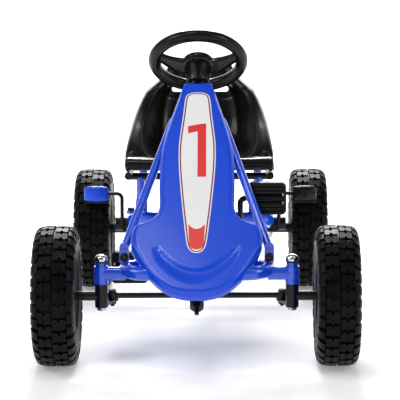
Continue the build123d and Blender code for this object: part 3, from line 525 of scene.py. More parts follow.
RIM_PROFILE = [
    (28.0, 56.4), (27.4, 57.4), (26.4, 57.2), (26.0, 56.0), (26.0, 51.0), (14.0, 49.6), (8.0, 47.0),
    (-8.0, 47.0), (-14.0, 49.6), (-26.0, 51.0), (-26.0, 56.0), (-26.4, 57.2), (-27.4, 57.4), (-28.0, 56.4),
    (-27.6, 54.4), (-25.0, 49.0), (-16.0, 46.6), (-9.0, 42.5), (-4.4, 38.6), (-3.0, 35.0), (-3.0, 27.0),
    (-4.6, 23.4), (-7.4, 20.6), (-7.6, 16.0), (-25.0, 15.0), (-25.0, 11.4), (25.0, 11.4), (25.0, 15.0),
    (7.6, 16.0), (7.4, 20.6), (4.6, 23.4), (3.0, 27.0), (3.0, 35.0), (4.4, 38.6), (9.0, 42.5),
    (16.0, 46.6), (25.0, 49.0), (27.6, 54.4),
]


class KART_OT_rims(bpy.types.Operator):
    """Build the pressed steel rims with their bolts and tyre valves"""

    bl_idname = "kart.rims"
    bl_label = "Rims"

    def execute(self, context):
        for corner, body in WHEEL_BODIES.items():
            centre = middle_of(f"{corner}_rim")
            outward = 1 if "left" in corner else -1
            place = Matrix.Translation(centre)
            verts, faces = turned(in_metres(RIM_PROFILE), 80)
            make_piece(
                f"{corner}_steel_rim", placed(verts, place), faces, body, "blue_rim",
                [f"{corner}_rim"], crease=30,
            )
            bolts = []
            for k in range(4):
                turn = Matrix.Rotation(math.radians(45 + 90 * k), 4, "X") @ Matrix.Translation((0, 0.031, 0))
                for side in (1, -1):
                    head = [(side * 0.003, 0), (side * 0.003, 0.0058), (side * 0.0038, 0.0062),
                            (side * 0.0072, 0.0062), (side * 0.0078, 0.0052), (side * 0.0082, 0)]
                    hexagon, sides = capped_turn(head, 6)
                    bolts.append((placed(hexagon, turn), sides))
                    shank, sides = capped_turn([
                        (side * 0.008, 0), (side * 0.008, 0.003), (side * 0.0115, 0.003), (side * 0.012, 0),
                    ], 16)
                    bolts.append((placed(shank, turn), sides))
            bolt_verts, bolt_faces = join_parts(bolts)
            make_piece(f"{corner}_rim_bolts", placed(bolt_verts, place), bolt_faces, body, "zinc")
            stem = [(0, 0), (0, 0.0046), (0.004, 0.0044), (0.009, 0.0033), (0.016, 0.0032), (0.0165, 0.004),
                    (0.0235, 0.004), (0.0245, 0.003), (0.0245, 0)]
            valve, sides = capped_turn(stem, 20)
            lean = Matrix.Translation((outward * 0.007, 0.0435, 0)) @ Matrix.Rotation(
                0 if outward > 0 else math.pi, 4, "Z"
            )
            make_piece(
                f"{corner}_tyre_valve", placed(placed(valve, lean), place), sides, body, "pad_rubber"
            )
        return {"FINISHED"}


# ------------------------------------------------------------------ nose
SLOPE = math.radians(41.1)
NOSE_TIP = Vector((0, -0.45, 0.145))
NOSE_UP = Vector((0, math.cos(SLOPE), math.sin(SLOPE)))
NOSE_OUT = Vector((0, -math.sin(SLOPE), math.cos(SLOPE)))
NOSE_EDGE = [
    (27.5, 534), (65, 382), (71, 290), (70, 221), (80, 195), (102, 182), (115, 175), (121, 158),
    (121, 136), (116, 114), (88, 62), (53, 26), (18, 13),
]
NOSE_DEPTH = 22.0
NOSE_WALL = 3.0
CREASE_DEPTH = 2.5


def on_nose(x, v, out):
    """A point of the nose from across, up-slope and outward distances in millimetres."""
    return Vector((x * MM, 0, 0)) + NOSE_TIP + NOSE_UP * (v * MM) + NOSE_OUT * (out * MM)


def tube_lines():
    """The middle lines and clear radii of the tubes that pass through the nose's wall, in millimetres."""
    front, bow_height, bow_gap = -385.0, 178, 14.0
    lines = [(Vector((-90, front, bow_height)), Vector((90, front, bow_height)), bow_gap)]
    for s in (1, -1):
        foot = Vector((s * 134, -326.5, 214))
        knee = Vector((s * 47, -100, 425))
        top = Vector((0, -69.7, 444))
        lines.append((foot, knee, 9.5))
        lines.append((knee, top, 9.5))
        bend = Vector((s * 90, front, bow_height))
        lines.append((bend, Vector((s * 131, front + 18, bow_height)), bow_gap))
    start = COLUMN_START / MM
    lines.append((start, start + COLUMN_AXIS * 545, 13.5))
    return lines


def clear_of_tubes(point, lines):
    """Whether a point in millimetres is outside every tube."""
    for a, b, radius in lines:
        run = b - a
        t = min(1, max(0, (point - a).dot(run) / run.length_squared))
        if (point - a - run * t).length < radius:
            return False
    return True


def nose_relief(x, v, edge_distance, bevel):
    """How far the nose's face lies below its flat plane, in millimetres."""
    drop = bevel * (1 - ease(edge_distance / bevel * 0.5 + 0.5)) * 2 if edge_distance < bevel else 0.0
    crease_v = 66 + 0.0102 * (x + 1) ** 2
    reach = 1 - ease((abs(x) - 66) / 14)
    below = crease_v - v
    step = CREASE_DEPTH * ease(below / 3.4 + 0.5) * (1 - ease((below - 4) / 32))
    groove = 0.5 * math.exp(-(below / 1.6) ** 2)
    return drop + reach * (step + groove)


class KART_OT_nose(bpy.types.Operator):
    """Build the moulded nose fairing"""

    bl_idname = "kart.nose"
    bl_label = "Nose"

    def execute(self, context):
        bevel = context.scene.kart_sizes.nose_bevel / MM
        line = sorted((p.y, p.x) for p in smooth_line([(*p, 0) for p in NOSE_EDGE], 160))
        rim = [Vector((x, v)) for v, x in line]
        rim_full = [Vector((-p.x, p.y)) for p in rim] + list(reversed(rim))
        low_v, high_v = line[0][0], line[-1][0]
        rows, columns = 200, 48
        heights = [low_v + (high_v - low_v) * ease_ends(i / rows) for i in range(rows + 1)]
        across = [ease_ends(j / columns) * 2 - 1 for j in range(columns + 1)]

        def distance(p):
            best = 1e9
            for a, b in zip(rim_full, rim_full[1:] + rim_full[:1]):
                run = b - a
                t = min(1, max(0, (p - a).dot(run) / max(1e-9, run.length_squared)))
                best = min(best, (p - a - run * t).length_squared)
            return math.sqrt(best)

        verts = []
        for v in heights:
            half = table_value(line, v)
            for u in across:
                x = u * half
                near = min(v - low_v, high_v - v, half - abs(x))
                d = distance(Vector((x, v))) if near < 2.5 * bevel else bevel
                verts.append(on_nose(x, v, -nose_relief(x, v, d, bevel)))
        faces = grid_faces(rows, columns)
        wide = columns + 1
        loop = list(range(wide))
        loop += [i * wide + columns for i in range(1, rows + 1)]
        loop += [rows * wide + j for j in range(columns - 1, -1, -1)]
        loop += [i * wide for i in range(rows - 1, 0, -1)]
        lines = tube_lines()
        depths = []
        for index in loop:
            base = verts[index]
            depth = bevel + 1
            while depth < NOSE_DEPTH:
                reached = base - NOSE_OUT * ((depth - bevel + 0.5) * MM)
                if not clear_of_tubes(reached / MM, lines):
                    break
                depth += 0.5
            depths.append(depth - bevel)
        previous = loop
        for step in (0.3, 1.0):
            ring = []
            for index, depth in zip(loop, depths):
                ring.append(len(verts))
                verts.append(verts[index] - NOSE_OUT * (depth * step * MM))
            for k in range(len(loop)):
                n = (k + 1) % len(loop)
                faces.append((previous[k], previous[n], ring[n], ring[k]))
            previous = ring
        nose = make_piece("nose_shell", verts, faces, "frame", "blue_plastic", ["nose_fairing"], crease=50)
        wall = nose.modifiers.new("wall thickness", "SOLIDIFY")
        wall.thickness = NOSE_WALL * MM
        wall.offset = -1
        return {"FINISHED"}


def ease_ends(t):
    """Spacing that is closer near both ends."""
    wave = 0.5 - 0.5 * math.cos(math.pi * t)
    return 0.55 * wave + 0.45 * t if 0 < t < 1 else wave


PANEL_EDGE = [
    (0, 105), (7, 106.5), (13, 112), (17, 122), (19.5, 136), (25, 190), (30, 245), (34, 300), (35.4, 335),
    (35, 370), (32, 405), (28.5, 440), (26, 470), (24, 488), (20, 497.5), (12, 502), (0, 503.5),
]


def inset_outline(outline, distance):
    """A closed convex outline moved inwards."""
    moved = []
    count = len(outline)
    for i, p in enumerate(outline):
        run = (outline[(i + 1) % count] - outline[i - 1]).normalized()
        moved.append(p + Vector((-run.y, run.x)) * distance)
    return moved


def flat_decal(name, outline, height, slot):
    """A thin sticker on the nose from an outline in millimetres."""
    verts = [on_nose(p[0], p[1], height) for p in outline] + [on_nose(p[0], p[1], -0.3) for p in outline]
    return make_piece(name, verts, prism_faces(len(outline)), "frame", slot)


class KART_OT_number_panel(bpy.types.Operator):
    """Lay the number panel, its outline, the number and the shield on the nose"""

    bl_idname = "kart.number_panel"
    bl_label = "Number panel"

    def execute(self, context):
        half = smooth_line([(*p, 0) for p in PANEL_EDGE], 70)
        right = [Vector((p.x, p.y)) for p in half]
        outline = right + [Vector((-p.x, p.y)) for p in reversed(right[1:-1])]
        rings = [(0.0, 0.0), (0.25, 0.42), (2.2, 0.42), (2.22, 0.5), (4.7, 0.5), (4.72, 0.42)]
        verts, faces, looks = [], [], []
        count = len(outline)
        for inset, height in rings:
            verts += [on_nose(p.x, p.y, height) for p in inset_outline(outline, inset)]
        for k in range(len(rings) - 1):
            for i in range(count):
                j = (i + 1) % count
                faces.append((k * count + i, k * count + j, (k + 1) * count + j, (k + 1) * count + i))
                looks.append(1 if k in (2, 3, 4) else 0)
        faces.append(tuple(range((len(rings) - 1) * count, len(rings) * count)))
        looks.append(0)
        faces.append(tuple(range(count - 1, -1, -1)))
        looks.append(0)
        make_piece(
            "number_panel_sticker", verts, faces, "frame", "decal", ["number_panel"],
            extra=["decal_line"], face_material=looks,
        )
        flag = [
            (0.8, 287), (17.2, 287), (16.8, 421), (8.5, 421), (-18.3, 414.5), (-17.8, 396.5), (0.4, 401.5),
        ]
        flat_decal("number_one", flag, 0.55, "decal_red")
        shield = []
        for k in range(13):
            t = k / 12
            shield.append((-15.6 + 31.2 * t, 173 - 12 * math.sin(math.pi * t) ** 0.8))
        for k in range(1, 16):
            angle = math.pi * k / 16
            shield.append((13.6 * math.cos(angle), 128 - 15 * math.sin(angle)))
        flat_decal("number_shield", list(reversed(shield)), 0.55, "decal_red")
        return {"FINISHED"}


# ------------------------------------------------------------------ seat
SEAT_MIDDLE = [
    (-271, 3), (-272, 10), (-269, 16.5), (-262, 20), (-254, 18), (-246, 13), (-228, 12), (-200, 13),
    (-130, 16), (-98, 24), (-74, 38), (-58, 64), (-48, 92), (-38, 130), (-28, 168), (-20, 196), (-14, 203),
]
SEAT_CREST = [
    (-271, 3), (-272, 10), (-268, 18), (-259, 22), (-251, 25), (-243, 36), (-222, 52), (-190, 70),
    (-154, 88), (-122, 108), (-95, 132), (-74, 154), (-56, 174), (-42, 190), (-28, 198), (-14, 203),
]
SEAT_HEM = [(-268, 1), (-240, 1), (-76, 1.5), (-58, 12), (-44, 48), (-32, 84), (-20, 150), (-11, 202)]
SEAT_HALF_WIDTH = [
    (-14, 143), (0, 146.5), (10, 149.5), (30, 149), (50, 146), (80, 138.5), (100, 131.5), (125, 120),
    (138, 112), (152, 95), (165, 79), (185, 68), (204, 58),
]
SEAT_SECTION = [
    (0.0, 0.0, 0), (0.12, 0.0, 0), (0.24, 0.0, 0), (0.36, 0.01, 0), (0.46, 0.03, 0), (0.55, 0.09, 0),
    (0.63, 0.22, 0), (0.7, 0.43, 0), (0.76, 0.66, 0), (0.82, 0.85, 0), (0.88, 0.965, 0), (0.93, 1.0, 0),
    (0.965, 0.985, 0), (0.986, 0.94, 0), (0.997, 0.86, 0), (1.0, 0.86, 0.16), (1.0, 0.86, 0.4),
    (1.0, 0.86, 0.65), (0.996, 0.86, 0.88), (0.985, 0.86, 1.0),
]
SEAT_SLOT_RISE = 143


class KART_OT_seat(bpy.types.Operator):
    """Build the moulded bucket seat"""

    bl_idname = "kart.seat"
    bl_label = "Seat"

    def execute(self, context):
        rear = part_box("left_rear_tyre")[0].y / MM + CROWN_RADIUS
        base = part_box("seat_slides")[1].z / MM
        rows = 120
        middle, crest, hem = (
            smooth_line([(0, y, z) for y, z in guide], rows) for guide in (SEAT_MIDDLE, SEAT_CREST, SEAT_HEM)
        )
        section = [(-u, g, w) for u, g, w in reversed(SEAT_SECTION[1:])] + SEAT_SECTION
        verts = []
        for k in range(rows):
            for u, g, w in section:
                spot = middle[k].lerp(crest[k], g).lerp(hem[k], w)
                x = u * table_value(SEAT_HALF_WIDTH, spot.z)
                if spot.z > 60 and w == 0:
                    seam = 122 + 26 * ease((abs(x) - 50) / 60)
                    spot = spot + Vector((0, 1, 0)) * (
                        2.8 * math.exp(-((spot.z - seam) / 2.4) ** 2) * ease((abs(x) - 34) / 12)
                    )
                verts.append(Vector((x, rear + spot.y, base + spot.z)) * MM)
        faces = grid_faces(rows - 1, len(section) - 1)
        seat = make_piece("moulded_seat", verts, faces, "seat", "black_plastic", ["seat_shell"], crease=60)
        centre = Vector((0, (rear - 100) * MM, (base + 40) * MM))
        point_out(seat.data, centre)
        wall = seat.modifiers.new("wall thickness", "SOLIDIFY")
        wall.thickness = context.scene.kart_sizes.seat_wall
        wall.offset = -1
        cutter_parts = []
        for s in (1, -1):
            slot = [(s * 44 + x, z) for x, z in rounded_rectangle(34, 12, 5.9)]
            body, sides = prism(slot, -40, 40)
            cutter_parts.append((
                [Vector((x, rear - 28 - d, base + SEAT_SLOT_RISE + z)) * MM for x, z, d in body], sides
            ))
        cut_verts, cut_faces = join_parts(cutter_parts)
        cut_through(seat, cut_verts, cut_faces)
        apply_modifiers(seat, ["wall thickness", "slots"])
        feet = []
        for s in (1, -1):
            for y in (-160, -76):
                pad = [(s * 145 + x, y + v) for x, v in rounded_rectangle(18, 22, 3)]
                body, sides = prism(pad, 0.3, 17)
                feet.append(([Vector((x, rear + y2, base + z)) * MM for x, y2, z in body], sides))
        feet_verts, feet_faces = join_parts(feet)
        make_piece("seat_feet", feet_verts, feet_faces, "seat", "black_plastic")
        return {"FINISHED"}


def point_out(mesh, centre):
    """Turn every face of an open shell towards a point inside it."""
    total = sum((centre - face.center).dot(face.normal) * face.area for face in mesh.polygons)
    if total < 0:
        mesh.flip_normals()


def cut_through(piece, verts, faces):
    """Cut a closed shape out of a piece."""
    cutter = bpy.data.objects.new("cutter", outward_mesh("cutter", verts, faces))
    bpy.context.scene.collection.objects.link(cutter)
    cut = piece.modifiers.new("slots", "BOOLEAN")
    cut.operation = "DIFFERENCE"
    cut.solver = "EXACT"
    cut.object = cutter


def apply_modifiers(piece, names):
    """Make the named modifiers part of the mesh and remove any cutter."""
    keep = [m.name for m in piece.modifiers if m.name not in names]
    for name in keep:
        piece.modifiers[name].show_viewport = False
    bpy.context.view_layer.update()
    graph = bpy.context.evaluated_depsgraph_get()
    mesh = bpy.data.meshes.new_from_object(piece.evaluated_get(graph))
    cutters = [m.object for m in piece.modifiers if m.type == "BOOLEAN"]
    old = piece.data
    piece.data = mesh
    for name in names:
        piece.modifiers.remove(piece.modifiers[name])
    for name in keep:
        piece.modifiers[name].show_viewport = True
    for cutter in cutters:
        bpy.data.objects.remove(cutter)
    bpy.data.meshes.remove(old)


# ------------------------------------------------------------------ steering wheel
WHEEL_STATION = 549.0
WHEEL_RADIUS = 99.0


def column_place(station):
    """The turn and place of a plane square to the steering column; its Z runs up the column."""
    down = Vector((0, math.sin(RAKE), -math.cos(RAKE)))
    origin = COLUMN_START + COLUMN_AXIS * (station * MM)
    place = Matrix((Vector((1, 0, 0)), down, COLUMN_AXIS)).transposed().to_4x4()
    place.translation = origin
    return place


def loft(sections, cap=True):
    """A skin through rings of points with the same count."""
    count = len(sections[0])
    verts = [p for ring in sections for p in ring]
    faces = []
    for k in range(len(sections) - 1):
        for i in range(count):
            j = (i + 1) % count
            faces.append((k * count + i, k * count + j, (k + 1) * count + j, (k + 1) * count + i))
    if cap:
        faces.append(tuple(range(count - 1, -1, -1)))
        faces.append(tuple(range((len(sections) - 1) * count, len(sections) * count)))
    return verts, faces


class KART_OT_steering_wheel(bpy.types.Operator):
    """Build the steering wheel's rim, spokes, hub pad and boss"""

    bl_idname = "kart.steering_wheel"
    bl_label = "Steering wheel"

    def execute(self, context):
        hub = column_place(WHEEL_STATION)
        grip = context.scene.kart_sizes.grip_diameter / MM / 2
        rim_verts, rim_faces = [], []
        around, across = 144, 24
        for k in range(around):
            turn = 2 * math.pi * k / around
            ripple = 0.0
            for centre_angle in (150, 30):
                away = abs((math.degrees(turn) - centre_angle + 180) % 360 - 180)
                if away < 30:
                    wave = 0.35 * (1 + math.cos(math.radians(away * 36)))
                    ripple = max(ripple, wave * (1 - away / 30))
            for j in range(across):
                tilt = 2 * math.pi * j / across
                inner = max(0, -math.cos(tilt))
                radius = grip - ripple * inner
                seam = 0.35 * math.exp(-((abs((tilt / math.pi) % 1 - 0.5) * 40) ** 2))
                radius -= seam
                ring = WHEEL_RADIUS - grip + radius * math.cos(tilt)
                spot = Vector((ring * math.cos(turn), ring * math.sin(turn), radius * math.sin(tilt)))
                rim_verts.append(spot * MM)
        for k in range(around):
            for j in range(across):
                a, b = k * across + j, k * across + (j + 1) % across
                c, d = (k + 1) % around * across + (j + 1) % across, (k + 1) % around * across + j
                rim_faces.append((a, b, c, d))
        make_piece(
            "steering_rim", placed(rim_verts, hub), rim_faces, "steering", "black_grip", ["steering_wheel"]
        )
        parts = []
        rings = []
        for r, half, low, high in (
            (20, 13, -11, 1.5), (34, 12, -11, 0.5), (50, 10.5, -9, -0.5), (66, 11, -7, 0.5),
            (84, 16, -5, 2.5),
        ):
            rings.append([Vector(p) * MM for p in (
                (-half, r, low + 2), (-half + 2, r, low), (half - 2, r, low), (half, r, low + 2),
                (half, r, high - 2), (half - 2, r, high), (-half + 2, r, high), (-half, r, high - 2),
            )])
        parts.append(loft(rings))
        for s in (1, -1):
            rings = []
            for x, up, down, low, high in (
                (18, -13, 33, -12.0, 1.0), (30, -13, 33, -12.0, 0.5), (40, -16, 32, -11.5, 0.0),
                (50, -19, 23, -10.5, 0.0), (60, -23, 12, -9.0, 0.5), (70, -28, 2, -7.5, 1.5),
                (80, -33, -5, -6.0, 2.5),
            ):
                rib = min(4.0, (down - up) / 5)
                rings.append([Vector(p) * MM for p in (
                    (s * x, up, low + 2), (s * x, up + 1.5, low), (s * x, up + rib, low),
                    (s * x, up + rib + 1.5, low + 3.5), (s * x, down - rib - 1.5, low + 3.5),
                    (s * x, down - rib, low), (s * x, down - 1.5, low), (s * x, down, low + 2),
                    (s * x, down, high - 2), (s * x, down - 2, high), (s * x, up + 2, high),
                    (s * x, up, high - 2),
                )])
            parts.append(loft(rings))
        verts, faces = join_parts(parts)
        spokes = make_piece("steering_spokes", placed(verts, hub), faces, "steering", "black_plastic")
        round_edges(spokes, 0.0012, 2, 30)
        pad = [
            (-14.0, 0), (-14.0, 24.5), (-13.0, 27.5), (-10.0, 30.0), (-4.0, 31.0), (1.0, 30.2), (3.4, 27.6),
            (4.4, 23.0), (4.9, 15.0), (4.9, 14.2), (4.0, 13.8), (4.0, 0),
        ]
        to_axis = hub @ Matrix.Rotation(math.radians(-90), 4, "Y")
        verts, faces = capped_turn(in_metres(pad), 72)
        make_piece("steering_hub_pad", placed(verts, to_axis), faces, "steering", "black_plastic")
        boss_place = column_place(0) @ Matrix.Rotation(math.radians(-90), 4, "Y")
        boss = [
            (494, 8.6), (494, 21.0), (494.8, 22.2), (496.6, 22.7), (508, 23.4), (519, 24.8), (527, 26.4),
            (532.5, 27.8), (534.2, 28.0), (535, 27.2), (535, 8.6),
        ]
        verts, faces = turned(in_metres(boss), 72)
        make_piece(
            "steering_boss", placed(verts, boss_place), faces, "steering", "black_plastic",
            ["steering_wheel_boss"],
        )
        return {"FINISHED"}


# ------------------------------------------------------------------ pedals
class KART_OT_pedals(bpy.types.Operator):
    """Build the two ribbed pedals with their screws"""

    bl_idname = "kart.pedals"
    bl_label = "Pedals"

    def execute(self, context):
        for side, s in SIDES.items():
            centre = middle_of(f"{side}_pedal")
            parts, screws = [], []
            bore = 5.58
            tube = [
                (-36, bore), (-36, 8.0), (-35, 9.0), (35, 9.0), (36, 8.0), (36, bore),
            ]
            parts.append(turned(tube, 40))
            outer, inner = rounded_rectangle(72, 62, 9), rounded_rectangle(61, 51, 6)
            count = len(outer)
            verts = [(x, d, z) for edge in (outer, inner) for d in (-11, 11) for x, z in edge]
            faces = []
            for i in range(count):
                j = (i + 1) % count
                faces.append((i, j, count + j, count + i))
                faces.append((2 * count + i, 3 * count + i, 3 * count + j, 2 * count + j))
                faces.append((i, 2 * count + i, 2 * count + j, j))
                faces.append((count + i, count + j, 3 * count + j, 3 * count + i))
            parts.append((verts, faces))
            plate, sides = prism(rounded_rectangle(66, 56, 7), -3.5, 3.5)
            parts.append(([(x, d, z) for x, z, d in plate], sides))
            for z in (-20, -12.2, 12.2, 20):
                bar = [(-31, z - 1.9), (31, z - 1.9), (31, z + 1.9), (-31, z + 1.9)]
                verts, faces = prism(bar, -9.6, 9.6)
                parts.append(([(x, d, zz) for x, zz, d in verts], faces))
            for x in (-19, 0, 19):
                for z0, z1 in ((-27, -8.0), (8.0, 27)):
                    web = [(x - 1.4, z0), (x + 1.4, z0), (x + 1.4, z1), (x - 1.4, z1)]
                    verts, faces = prism(web, -7.5, 7.5)
                    parts.append(([(x2, d, zz) for x2, zz, d in verts], faces))
            for z in (-26.5, 26.5):
                for d in (-1, 1):
                    for k in range(9):
                        x = -28 + 7 * k
                        tooth = [
                            (x - 1.6, z - 2.0), (x + 1.6, z - 2.0), (x + 1.6, z + 2.0), (x - 1.6, z + 2.0),
                        ]
                        verts, faces = prism(tooth, min(0, d * 11), max(0, d * 11))
                        parts.append(([(x2, dd, zz) for x2, zz, dd in verts], faces))
            verts, faces = join_parts(parts)
            place = Matrix.Translation(centre)
            pedal = make_piece(
                f"{side}_ribbed_pedal", placed([Vector(v) * MM for v in verts], place), faces,
                f"{side}_pedal", "black_grip", [f"{side}_pedal"],
            )
            round_edges(pedal, 0.0008, 2, 40)
            for z in (-8.0, 8.0):
                head = [(0, 0), (0, 3.0), (0.9, 2.8), (1.5, 1.8), (1.7, 0)]
                for d in (-1, 1):
                    verts, faces = capped_turn(in_metres(head), 20)
                    turn = Matrix.Translation((s * 0.0305, d * 0.0093, z * MM)) @ Matrix.Rotation(
                        math.radians(90 * d), 4, "Z"
                    )
                    screws.append((placed(verts, turn), faces))
            verts, faces = join_parts(screws)
            make_piece(f"{side}_pedal_screws", placed(verts, place), faces, f"{side}_pedal", "zinc")
        return {"FINISHED"}


# ------------------------------------------------------------------ brake and steering heads
class KART_OT_brake_shoes(bpy.types.Operator):
    """Build the two moulded brake shoe covers: one blue, and one black as painted shade"""

    bl_idname = "kart.brake_shoes"
    bl_label = "Brake shoes"

    def execute(self, context):
        # Both covers share one shape; the left one takes the black finish as painted shade, a dark copy of
        # the blue cover that stands in for the tyre's shadow.
        for side, slot in (("left", "black_plastic"), ("right", "blue_plastic")):
            low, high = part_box(f"{side}_brake_shoe")
            width = high.x - low.x
            centre = (low + high) / 2
            tyre_gap = 0.0042
            rings = []
            for k in range(15):
                t = k / 14
                x = low.x + width * t
                end = math.sin(math.pi * t) ** 0.35 if 0 < t < 1 else 0.0
                thick = 0.001 + 0.0105 * end
                tall = 0.5 * (high.z - low.z) * (0.72 + 0.28 * end)
                ring = []
                for j in range(20):
                    angle = 2 * math.pi * j / 20
                    c, n = math.cos(angle), math.sin(angle)
                    power = 0.72
                    y = thick * math.copysign(abs(c) ** power, c)
                    z = tall * math.copysign(abs(n) ** power, n)
                    ring.append(Vector((x, centre.y - tyre_gap + y * 0.86 + z * 0.05, centre.z + z)))
                rings.append(ring)
            verts, faces = loft(rings)
            make_piece(
                f"{side}_brake_cover", verts, faces, "brake", slot, [f"{side}_brake_shoe"], crease=60
            )
        return {"FINISHED"}


class KART_OT_kingpins(bpy.types.Operator):
    """Build the domed kingpin caps, their dust rings and the wheel nuts"""

    bl_idname = "kart.kingpins"
    bl_label = "Kingpins"

    def execute(self, context):
        for side, s in SIDES.items():
            body = f"{side}_knuckle"
            node = f"{side}_kingpin_and_nut"
            low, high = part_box(node)
            pin_x = s * KINGPIN_X
            top = high.z / MM
            stand = Matrix.Rotation(math.radians(-90), 4, "Y")
            upright = Matrix.Translation((pin_x, FRONT_AXLE_Y, 0)) @ stand
            dome = [
                (top - 12, 0), (top - 12, 12.3), (top - 10.6, 12.5), (top - 8.6, 12.3), (top - 6.0, 11.4),
                (top - 3.4, 9.4), (top - 1.4, 6.4), (top - 0.3, 3.2), (top, 0),
            ]
            verts, faces = capped_turn(in_metres(dome), 48)
            make_piece(f"{side}_kingpin_cap", placed(verts, upright), faces, body, "chrome", [node])
            ring = [
                (top - 15.6, 6.0), (top - 15.6, 11.0), (top - 15.0, 11.9), (top - 12.9, 11.9),
                (top - 12.2, 11.2), (top - 12.2, 6.0),
            ]
            verts, faces = turned(in_metres(ring), 48)
            make_piece(f"{side}_kingpin_seal", placed(verts, upright), faces, body, "pad_rubber")
            bottom = low.z / MM
            pin = [
                (bottom, 0), (bottom, 4.2), (bottom + 0.8, 5.0), (top - 12, 5.0), (top - 12, 0),
            ]
            verts, faces = capped_turn(in_metres(pin), 32)
            nut = [(103.2, 0), (103.2, 8.4), (104.2, 9.4), (108.0, 9.4), (108.8, 8.4), (108.8, 0)]
            nut_verts, nut_faces = capped_turn(in_metres(nut), 6)
            outward = Matrix.Translation((pin_x, FRONT_AXLE_Y, AXLE_HEIGHT))
            end_nut = [(108.5, 0), (108.5, 9.6), (109.4, 10.4), (115.0, 10.4), (116.0, 9.6), (116.0, 0)]
            end_verts, end_faces = capped_turn([(s * x * MM, r * MM) for x, r in end_nut], 6)
            joined = join_parts([
                (placed(verts, upright), faces), (placed(nut_verts, upright), nut_faces),
                (placed(end_verts, outward), end_faces),
            ])
            make_piece(f"{side}_kingpin_bolt", joined[0], joined[1], body, "zinc")
        return {"FINISHED"}


class KART_OT_frame_finish(bpy.types.Operator):
    """Give every carried-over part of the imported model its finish"""

    bl_idname = "kart.frame_finish"
    bl_label = "Frame finish"

    def execute(self, context):
        looks = finishes()
        slots = {row["node"]: row["material_slot"] for row in frame["record"]["subparts"]}
        for name, node in frame["nodes"].items():
            node.data.materials.clear()
            node.data.materials.append(looks[slots[name]])
        return {"FINISHED"}


# ------------------------------------------------------------------ stage
CAMERA_SPOT = (0.0518, -3.8203, 0.890)
CAMERA_YAW = math.radians(-0.741)
CAMERA_PITCH = math.radians(9.505)
CAMERA_ROLL = math.radians(-0.287)
CAMERA_LENS = 173.007


def area_light(name, spot, aim, size, size_y, watts):
    """A soft rectangular studio light."""
    lamp = bpy.data.lights.new(name, "AREA")
    lamp.shape = "RECTANGLE"
    lamp.size, lamp.size_y = size, size_y
    lamp.energy = watts
    holder = bpy.data.objects.new(name, lamp)
    holder.location = spot
    holder.rotation_euler = (Vector(aim) - Vector(spot)).to_track_quat("-Z", "Y").to_euler()
    bpy.context.scene.collection.objects.link(holder)
    return holder


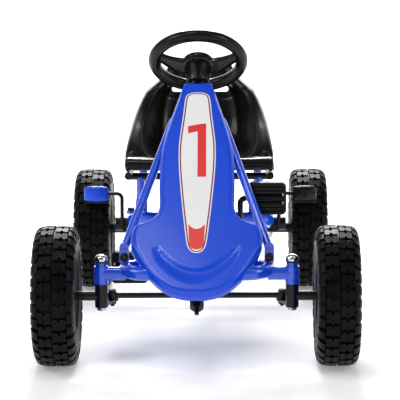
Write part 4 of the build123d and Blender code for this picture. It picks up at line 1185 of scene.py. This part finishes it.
class KART_OT_stage(bpy.types.Operator):
    """Lay the pale floor, hang the studio lights and set the camera"""

    bl_idname = "kart.stage"
    bl_label = "Stage"

    def execute(self, context):
        scene = context.scene
        rows = []
        reach, wall_y, curve, top = 9.0, 6.5, 1.6, 7.0
        rows.append((-reach, 0.0))
        rows.append((wall_y - curve, 0.0))
        for k in range(1, 13):
            angle = math.radians(90 * k / 12)
            rows.append((wall_y - curve + curve * math.sin(angle), curve - curve * math.cos(angle)))
        rows.append((wall_y, top))
        verts = [(x, y, z) for y, z in rows for x in (-reach, reach)]
        faces = [(2 * k, 2 * k + 1, 2 * k + 3, 2 * k + 2) for k in range(len(rows) - 1)]
        mesh = bpy.data.meshes.new("studio_floor")
        mesh.from_pydata(verts, [], faces)
        mesh.materials.append(finish_material(
            "pale_floor", (0.96, 0.96, 0.95), 0.75, shade=0.01, grain=0.05, grain_scale=300, specular=0.1,
            glow=0.24,
        ))
        mesh.shade_smooth()
        floor = bpy.data.objects.new("studio_floor", mesh)
        scene.collection.objects.link(floor)

        area_light("key_softbox", (-2.6, -1.2, 2.4), (0, -0.1, 0.25), 1.8, 1.6, 34)
        area_light("fill_softbox", (2.7, -1.4, 2.0), (0, 0, 0.25), 1.2, 1.6, 22)
        area_light("left_strip", (-0.75, -1.0, 2.6), (0, -0.4, 0.3), 0.35, 1.8, 6)
        area_light("right_strip", (0.95, -1.0, 2.6), (0, -0.4, 0.3), 0.3, 1.8, 3.5)
        area_light("nose_softbox", (-0.42, -0.7, 2.5), (-0.1, -0.45, 0.2), 0.34, 0.5, 4.5)
        area_light("back_softbox", (0, 2.1, 2.1), (0, -0.2, 0.2), 1.2, 0.6, 80)
        area_light("wall_wash", (0, 4.4, 3.6), (0, 6.4, 0.6), 5.0, 1.0, 190)

        world = bpy.data.worlds.new("studio_air")
        scene.world = world
        world.use_nodes = True
        nodes, links = world.node_tree.nodes, world.node_tree.links
        place = nodes.new("ShaderNodeTexCoord")
        split = nodes.new("ShaderNodeSeparateXYZ")
        fade = nodes.new("ShaderNodeValToRGB")
        fade.color_ramp.elements[0].position = 0.1
        fade.color_ramp.elements[0].color = (1, 1, 1, 1)
        fade.color_ramp.elements[1].position = 0.62
        fade.color_ramp.elements[1].color = (0.2, 0.2, 0.21, 1)
        links.new(place.outputs["Generated"], split.inputs["Vector"])
        links.new(split.outputs["Z"], fade.inputs["Fac"])
        background = nodes["Background"]
        links.new(fade.outputs["Color"], background.inputs["Color"])
        background.inputs["Strength"].default_value = 0.66

        camera_data = bpy.data.cameras.new("camera")
        camera_data.sensor_width = 36
        camera_data.lens = CAMERA_LENS
        camera_data.clip_end = 50
        camera = bpy.data.objects.new("camera", camera_data)
        forward = Vector((
            math.sin(CAMERA_YAW) * math.cos(CAMERA_PITCH),
            math.cos(CAMERA_YAW) * math.cos(CAMERA_PITCH),
            -math.sin(CAMERA_PITCH),
        ))
        right = forward.cross(Vector((0, 0, 1))).normalized()
        up = right.cross(forward)
        right_2 = right * math.cos(CAMERA_ROLL) + up * math.sin(CAMERA_ROLL)
        up_2 = -right * math.sin(CAMERA_ROLL) + up * math.cos(CAMERA_ROLL)
        turn = Matrix((right_2, up_2, -forward)).transposed().to_4x4()
        turn.translation = CAMERA_SPOT
        camera.matrix_world = turn
        scene.collection.objects.link(camera)
        scene.camera = camera
        scene.view_settings.view_transform = "Standard"
        return {"FINISHED"}


OPERATORS = (
    KART_OT_stage,
    KART_OT_frame_finish,
    KART_OT_tyres,
    KART_OT_rims,
    KART_OT_nose,
    KART_OT_number_panel,
    KART_OT_seat,
    KART_OT_steering_wheel,
    KART_OT_pedals,
    KART_OT_brake_shoes,
    KART_OT_kingpins,
)


class KART_PT_builder(bpy.types.Panel):
    """Lists the kart's settings and building steps"""

    bl_idname = "KART_PT_builder"
    bl_label = "Pedal go kart"
    bl_space_type = "VIEW_3D"
    bl_region_type = "UI"
    bl_category = "Go Kart"

    def draw(self, context):
        for group in (context.scene.kart_sizes, context.scene.kart_colours):
            for name in group.bl_rna.properties.keys():
                if name not in ("rna_type", "name"):
                    self.layout.prop(group, name)
        for operator in OPERATORS:
            self.layout.operator(operator.bl_idname)


CLASSES = (KartSizes, KartColours, *OPERATORS, KART_PT_builder)


def register():
    """Register the classes and the scene's settings."""
    for item in CLASSES:
        bpy.utils.register_class(item)
    bpy.types.Scene.kart_sizes = PointerProperty(type=KartSizes)
    bpy.types.Scene.kart_colours = PointerProperty(type=KartColours)


def unregister():
    """Remove the settings and the classes."""
    del bpy.types.Scene.kart_colours
    del bpy.types.Scene.kart_sizes
    for item in reversed(CLASSES):
        bpy.utils.unregister_class(item)


def main():
    """Build the whole kart."""
    register()
    for operator in OPERATORS:
        group, name = operator.bl_idname.split(".")
        getattr(getattr(bpy.ops, group), name)()


if __name__ == "__main__":
    main()
